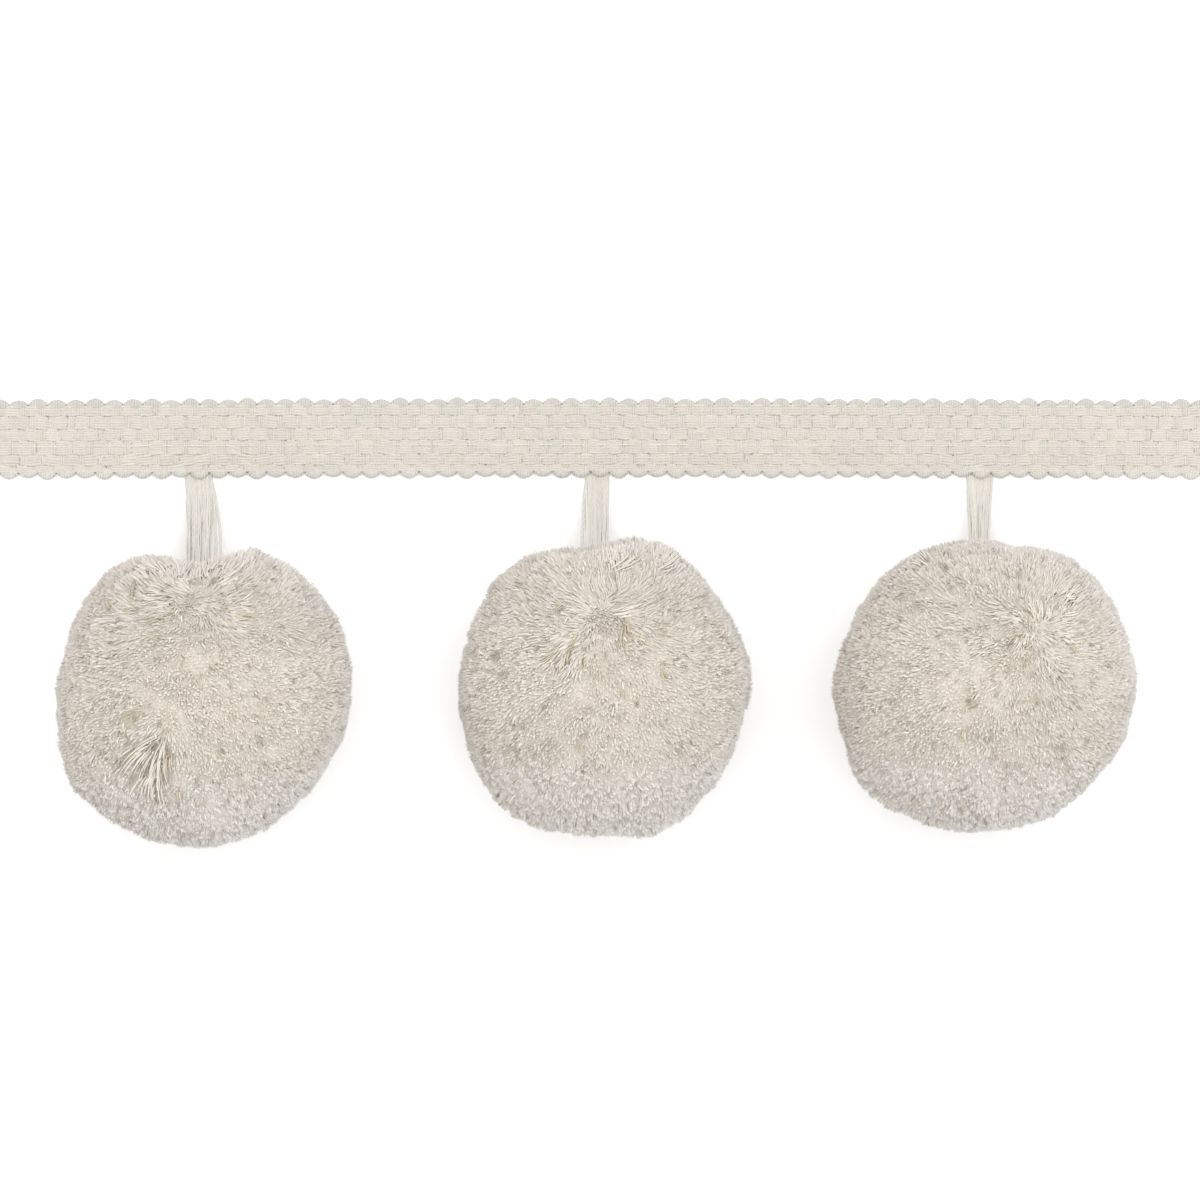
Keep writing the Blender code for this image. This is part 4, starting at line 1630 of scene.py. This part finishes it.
POMPOMS = (
    Pompom(
        number=1,
        centre_x=-98.9,
        centre_y=-19.25,
        radius=37.2,
        lobes=(
            Lobe(azimuth_deg=60, elevation_deg=0, rise_mm=2.8, spread_deg=24),
            Lobe(azimuth_deg=124, elevation_deg=0, rise_mm=2.6, spread_deg=18),
            Lobe(azimuth_deg=92, elevation_deg=-8, rise_mm=-8.0, spread_deg=13),
            Lobe(azimuth_deg=92, elevation_deg=22, rise_mm=-4.5, spread_deg=11),
            Lobe(azimuth_deg=216, elevation_deg=0, rise_mm=1.9, spread_deg=18),
            Lobe(azimuth_deg=318, elevation_deg=10, rise_mm=-2.6, spread_deg=30),
            Lobe(azimuth_deg=200, elevation_deg=60, rise_mm=1.2, spread_deg=25),
            Lobe(azimuth_deg=28, elevation_deg=5, rise_mm=1.6, spread_deg=20),
            Lobe(azimuth_deg=172, elevation_deg=5, rise_mm=-1.2, spread_deg=24),
        ),
        eyes=(
            Eye(across=-1.9, up=27.0, lean_deg=56, reach=38.0),
            Eye(across=10.4, up=22.5, lean_deg=20, reach=8.0),
            Eye(across=-7.5, up=-7.0, lean_deg=40, reach=11.0),
        ),
        streaks=(
            Streak(Cotton.SHADED, across=-7.8, up=-8.3, turn=236, length=16, strands=13, fan=70, width=0.8),
            Streak(Cotton.PALE, across=-8.0, up=-8.5, turn=234, length=15, strands=18, fan=66, width=0.8),
            Streak(Cotton.OLIVE_TONE_AND_PAINTED_SHADE, across=-6.8, up=-12.5, turn=262, length=7, strands=6, fan=14, width=0.9),
            Streak(Cotton.SHADED, across=-9.2, up=-15.0, turn=262, length=11, strands=6, fan=30),
            Streak(Cotton.PALE, across=-10.0, up=-17.0, turn=250, length=10, strands=10, fan=46, width=1.4),
            Streak(Cotton.OLIVE_TONE_AND_PAINTED_SHADE, across=-4.9, up=-22.0, turn=268, length=4.2),
            Streak(Cotton.OLIVE_TONE_AND_PAINTED_SHADE, across=-13.0, up=-11.0, turn=222, length=5.5, strands=4, fan=20),
            Streak(Cotton.OLIVE_TONE_AND_PAINTED_SHADE, across=-14.5, up=-3.5, turn=215, length=3.5, strands=5, fan=30, width=1.2),
            Streak(Cotton.SHADED, across=-15.6, up=30.0, turn=252, length=6.0),
            Streak(Cotton.SHADED, across=-5.6, up=26.2, turn=200, length=4.3),
            Streak(Cotton.OLIVE_TONE_AND_PAINTED_SHADE, across=-15.1, up=23.0, turn=195, length=3.9),
            Streak(Cotton.OLIVE_TONE_AND_PAINTED_SHADE, across=-8.4, up=20.2, turn=186, length=4.5),
            Streak(Cotton.PALE, across=4.4, up=28.6, turn=26, length=9.0, strands=7, fan=18, width=0.8),
            Streak(Cotton.SHADED, across=4.6, up=31.5, turn=242, length=3.4),
            Streak(Cotton.OLIVE_TONE_AND_PAINTED_SHADE, across=9.0, up=21.5, turn=337, length=6.0, strands=5, fan=26),
            Streak(Cotton.PALE, across=10.2, up=23.6, turn=2, length=4.5, strands=6, fan=80),
            Streak(Cotton.OLIVE_TONE_AND_PAINTED_SHADE, across=-23.1, up=24.2, turn=282, length=3.6, strands=2),
            Streak(Cotton.SHADED, across=15.4, up=-9.0, turn=280, length=3.0, strands=2),
            Streak(Cotton.SHADED, across=5.9, up=-11.0, turn=272, length=3.0, strands=2),
            Streak(Cotton.SHADED, across=-10.5, up=-0.8, turn=200, length=1.6, strands=2),
            Streak(Cotton.SHADED, across=-1.2, up=32.5, turn=270, length=3.0, strands=5, width=0.9),
            Streak(Cotton.SHADED, across=-1.9, up=26.6, turn=265, length=1.0, strands=5, width=0.9),
        ),
        hanger_x=-101.2,
        hanger_braid_width=6.8,
        hanger_tie_width=4.7,
        hanger_tie_x=-100.3,
        loose_yarns=(
            LooseYarn(braid_offset=3.1, tie_offset=3.1, bulge=1.3),
            LooseYarn(braid_offset=3.3, tie_offset=3.6, bulge=2.2),
        ),
    ),
    Pompom(
        number=2,
        centre_x=1.25,
        centre_y=-16.5,
        radius=36.4,
        lobes=(
            Lobe(azimuth_deg=69, elevation_deg=0, rise_mm=2.4, spread_deg=18),
            Lobe(azimuth_deg=128, elevation_deg=0, rise_mm=2.3, spread_deg=18),
            Lobe(azimuth_deg=97, elevation_deg=5, rise_mm=-2.6, spread_deg=10),
            Lobe(azimuth_deg=231, elevation_deg=0, rise_mm=3.1, spread_deg=24),
            Lobe(azimuth_deg=292, elevation_deg=0, rise_mm=2.4, spread_deg=16),
            Lobe(azimuth_deg=30, elevation_deg=65, rise_mm=1.0, spread_deg=25),
            Lobe(azimuth_deg=343, elevation_deg=5, rise_mm=-1.3, spread_deg=17),
            Lobe(azimuth_deg=31, elevation_deg=5, rise_mm=-1.6, spread_deg=10),
            Lobe(azimuth_deg=104, elevation_deg=5, rise_mm=-1.4, spread_deg=8),
            Lobe(azimuth_deg=150, elevation_deg=5, rise_mm=0.5, spread_deg=10),
        ),
        eyes=(
            Eye(across=0.5, up=21.0, lean_deg=56, reach=34.0),
            Eye(across=-9.0, up=13.0, lean_deg=20, reach=8.0),
        ),
        streaks=(
            Streak(Cotton.PALE, across=1.8, up=29.0, turn=25, length=8.0, strands=6, fan=14, width=0.8),
            Streak(Cotton.SHADED, across=2.5, up=29.0, turn=235, length=2.2),
            Streak(Cotton.PALE, across=12.2, up=29.0, turn=18, length=7.0, strands=5, width=0.8),
            Streak(Cotton.PALE, across=1.2, up=18.3, turn=5, length=8.5, strands=8, fan=16, width=0.7),
            Streak(Cotton.OLIVE_TONE_AND_PAINTED_SHADE, across=5.3, up=16.5, turn=268, length=6.5, strands=6, fan=26, width=0.7),
            Streak(Cotton.OLIVE_TONE_AND_PAINTED_SHADE, across=7.8, up=14.0, turn=300, length=4.5),
            Streak(Cotton.OLIVE_TONE_AND_PAINTED_SHADE, across=-10.3, up=21.0, turn=215, length=3.0),
            Streak(Cotton.OLIVE_TONE_AND_PAINTED_SHADE, across=-6.2, up=14.0, turn=225, length=3.6, strands=4),
            Streak(Cotton.OLIVE_TONE_AND_PAINTED_SHADE, across=-8.4, up=11.0, turn=250, length=6.0),
            Streak(Cotton.SHADED, across=-8.3, up=10.0, turn=252, length=5.0, strands=2),
            Streak(Cotton.OLIVE_TONE_AND_PAINTED_SHADE, across=-12.6, up=8.3, turn=212, length=4.8, strands=6, fan=22, width=0.7),
            Streak(Cotton.PALE, across=-13.0, up=7.0, turn=210, length=4.4, strands=3),
            Streak(Cotton.PALE, across=-15.0, up=12.0, turn=184, length=7.0, strands=6, fan=14, width=1.5),
            Streak(Cotton.OLIVE_TONE_AND_PAINTED_SHADE, across=-5.2, up=9.0, turn=265, length=4.5, strands=2),
            Streak(Cotton.SHADED, across=-26.0, up=9.0, turn=225, length=3.0, strands=4, fan=50),
            Streak(Cotton.SHADED, across=-25.0, up=4.0, turn=215, length=2.4, strands=3, fan=40),
            Streak(Cotton.OLIVE_TONE_AND_PAINTED_SHADE, across=4.6, up=1.5, turn=265, length=4.0),
            Streak(Cotton.OLIVE_TONE_AND_PAINTED_SHADE, across=-6.0, up=-12.9, turn=268, length=3.2),
            Streak(Cotton.SHADED, across=-20.2, up=-8.5, turn=265, length=2.0, strands=2),
            Streak(Cotton.OLIVE_TONE_AND_PAINTED_SHADE, across=13.5, up=5.5, turn=285, length=4.0),
            Streak(Cotton.PALE, across=2.6, up=-2.0, turn=264, length=5.0, strands=3),
        ),
        hanger_x=-0.75,
        hanger_braid_width=6.2,
        hanger_tie_width=4.9,
        hanger_tie_x=-0.9,
        loose_yarns=(LooseYarn(braid_offset=-2.5, tie_offset=-3.0, bulge=-1.0),),
    ),
    Pompom(
        number=3,
        centre_x=96.0,
        centre_y=-16.0,
        radius=36.9,
        lobes=(
            Lobe(azimuth_deg=43, elevation_deg=0, rise_mm=2.1, spread_deg=20),
            Lobe(azimuth_deg=78, elevation_deg=5, rise_mm=-1.9, spread_deg=11),
            Lobe(azimuth_deg=218, elevation_deg=0, rise_mm=3.2, spread_deg=18),
            Lobe(azimuth_deg=182, elevation_deg=0, rise_mm=1.6, spread_deg=13),
            Lobe(azimuth_deg=280, elevation_deg=0, rise_mm=-1.0, spread_deg=20),
            Lobe(azimuth_deg=110, elevation_deg=62, rise_mm=1.1, spread_deg=25),
            Lobe(azimuth_deg=38, elevation_deg=5, rise_mm=-1.1, spread_deg=14),
            Lobe(azimuth_deg=61, elevation_deg=5, rise_mm=0.7, spread_deg=9),
            Lobe(azimuth_deg=128, elevation_deg=5, rise_mm=1.1, spread_deg=17),
            Lobe(azimuth_deg=0, elevation_deg=5, rise_mm=0.7, spread_deg=8),
            Lobe(azimuth_deg=206, elevation_deg=5, rise_mm=-0.8, spread_deg=8),
            Lobe(azimuth_deg=318, elevation_deg=5, rise_mm=-1.2, spread_deg=17),
            Lobe(azimuth_deg=255, elevation_deg=5, rise_mm=0.5, spread_deg=10),
        ),
        eyes=(
            Eye(across=12.0, up=16.0, lean_deg=56, reach=32.0),
            Eye(across=-9.7, up=21.5, lean_deg=26, reach=10.0),
        ),
        streaks=(
            Streak(Cotton.PALE, across=11.5, up=15.8, turn=100, length=6.0, strands=8, fan=30, width=0.8),
            Streak(Cotton.OLIVE_TONE_AND_PAINTED_SHADE, across=11.0, up=16.4, turn=104, length=4.5, strands=4, fan=30, width=0.4),
            Streak(Cotton.PALE, across=13.2, up=16.4, turn=62, length=3.8, strands=4, width=0.6),
            Streak(Cotton.PALE, across=15.6, up=16.8, turn=358, length=6.5, strands=6, fan=26, width=0.8),
            Streak(Cotton.PALE, across=19.0, up=21.6, turn=0, length=4.0),
            Streak(Cotton.OLIVE_TONE_AND_PAINTED_SHADE, across=19.3, up=22.6, turn=358, length=3.0, strands=2),
            Streak(Cotton.OLIVE_TONE_AND_PAINTED_SHADE, across=20.2, up=25.0, turn=8, length=3.5, strands=2),
            Streak(Cotton.OLIVE_TONE_AND_PAINTED_SHADE, across=19.8, up=10.3, turn=310, length=2.8),
            Streak(Cotton.PALE, across=17.5, up=12.4, turn=325, length=3.4),
            Streak(Cotton.SHADED, across=9.8, up=17.5, turn=120, length=3.2, strands=3, fan=40),
            Streak(Cotton.OLIVE_TONE_AND_PAINTED_SHADE, across=7.5, up=13.5, turn=185, length=2.4),
            Streak(Cotton.SHADED, across=6.2, up=11.8, turn=215, length=4.2, strands=2),
            Streak(Cotton.OLIVE_TONE_AND_PAINTED_SHADE, across=10.0, up=10.5, turn=200, length=2.4),
            Streak(Cotton.SHADED, across=8.2, up=6.4, turn=262, length=1.6, strands=2),
            Streak(Cotton.SHADED, across=9.3, up=3.3, turn=325, length=1.4, strands=1),
            Streak(Cotton.SHADED, across=-4.3, up=-3.4, turn=190, length=2.4),
            Streak(Cotton.OLIVE_TONE_AND_PAINTED_SHADE, across=-6.2, up=-4.4, turn=250, length=2.2),
            Streak(Cotton.OLIVE_TONE_AND_PAINTED_SHADE, across=-7.0, up=-10.5, turn=262, length=3.6, strands=5, fan=16, width=0.7),
            Streak(Cotton.SHADED, across=10.5, up=-3.0, turn=315, length=1.6, strands=2),
            Streak(Cotton.SHADED, across=6.8, up=29.0, turn=285, length=2.5, strands=2),
            Streak(Cotton.PALE, across=-14.5, up=30.0, turn=140, length=4.2, strands=7, fan=50, width=1.2),
            Streak(Cotton.SHADED, across=-12.0, up=31.0, turn=300, length=3.0, strands=4, fan=30),
            Streak(Cotton.SHADED, across=-9.0, up=24.8, turn=200, length=1.8, strands=3, fan=60),
            Streak(Cotton.SHADED, across=-20.5, up=22.5, turn=190, length=3.0),
        ),
        hanger_x=95.7,
        hanger_braid_width=6.6,
        hanger_tie_width=3.5,
        hanger_tie_x=94.5,
        loose_yarns=(),
    ),
)


def triangles_of(piece: bpy.types.Object) -> int:
    """Returns how many triangles a piece has."""
    return len(piece.data.loops) - 2 * len(piece.data.polygons)


def main() -> None:
    """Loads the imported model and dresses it."""
    logging.basicConfig(level=logging.INFO, format="%(message)s")
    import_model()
    Studio().build()
    effects = SharedEffects()
    pieces = HeadingBraid().build(effects)
    pile_finish = YarnFinish(
        name="cut_cotton_pile",
        softness=0.05,
        specks=0.06,
        speck_scale=700.0,
        bump_mm=0.06,
        sheen=0.25,
    ).build(effects)
    body_finish = YarnFinish(
        name="dense_cotton_pile",
        softness=0.08,
        specks=0.45,
        speck_scale=1900.0,
        bump_mm=0.35,
        sheen=0.1,
    ).build(effects)
    skein_finish = YarnFinish(
        name="hanging_yarn",
        softness=0.04,
        specks=0.06,
        speck_scale=1200.0,
        twist_shade=0.07,
        turns_per_mm=0.42,
        fibres=2.0,
        bump_mm=0.05,
        sheen=0.2,
    ).build(effects)
    for pompom in POMPOMS:
        pieces += pompom.build(pile_finish, body_finish, skein_finish)
    for piece in pieces:
        LOG.info("%s: %d triangles", piece.name, triangles_of(piece))
    LOG.info("all pieces: %d triangles", sum(triangles_of(piece) for piece in pieces))


if __name__ == "__main__":
    main()
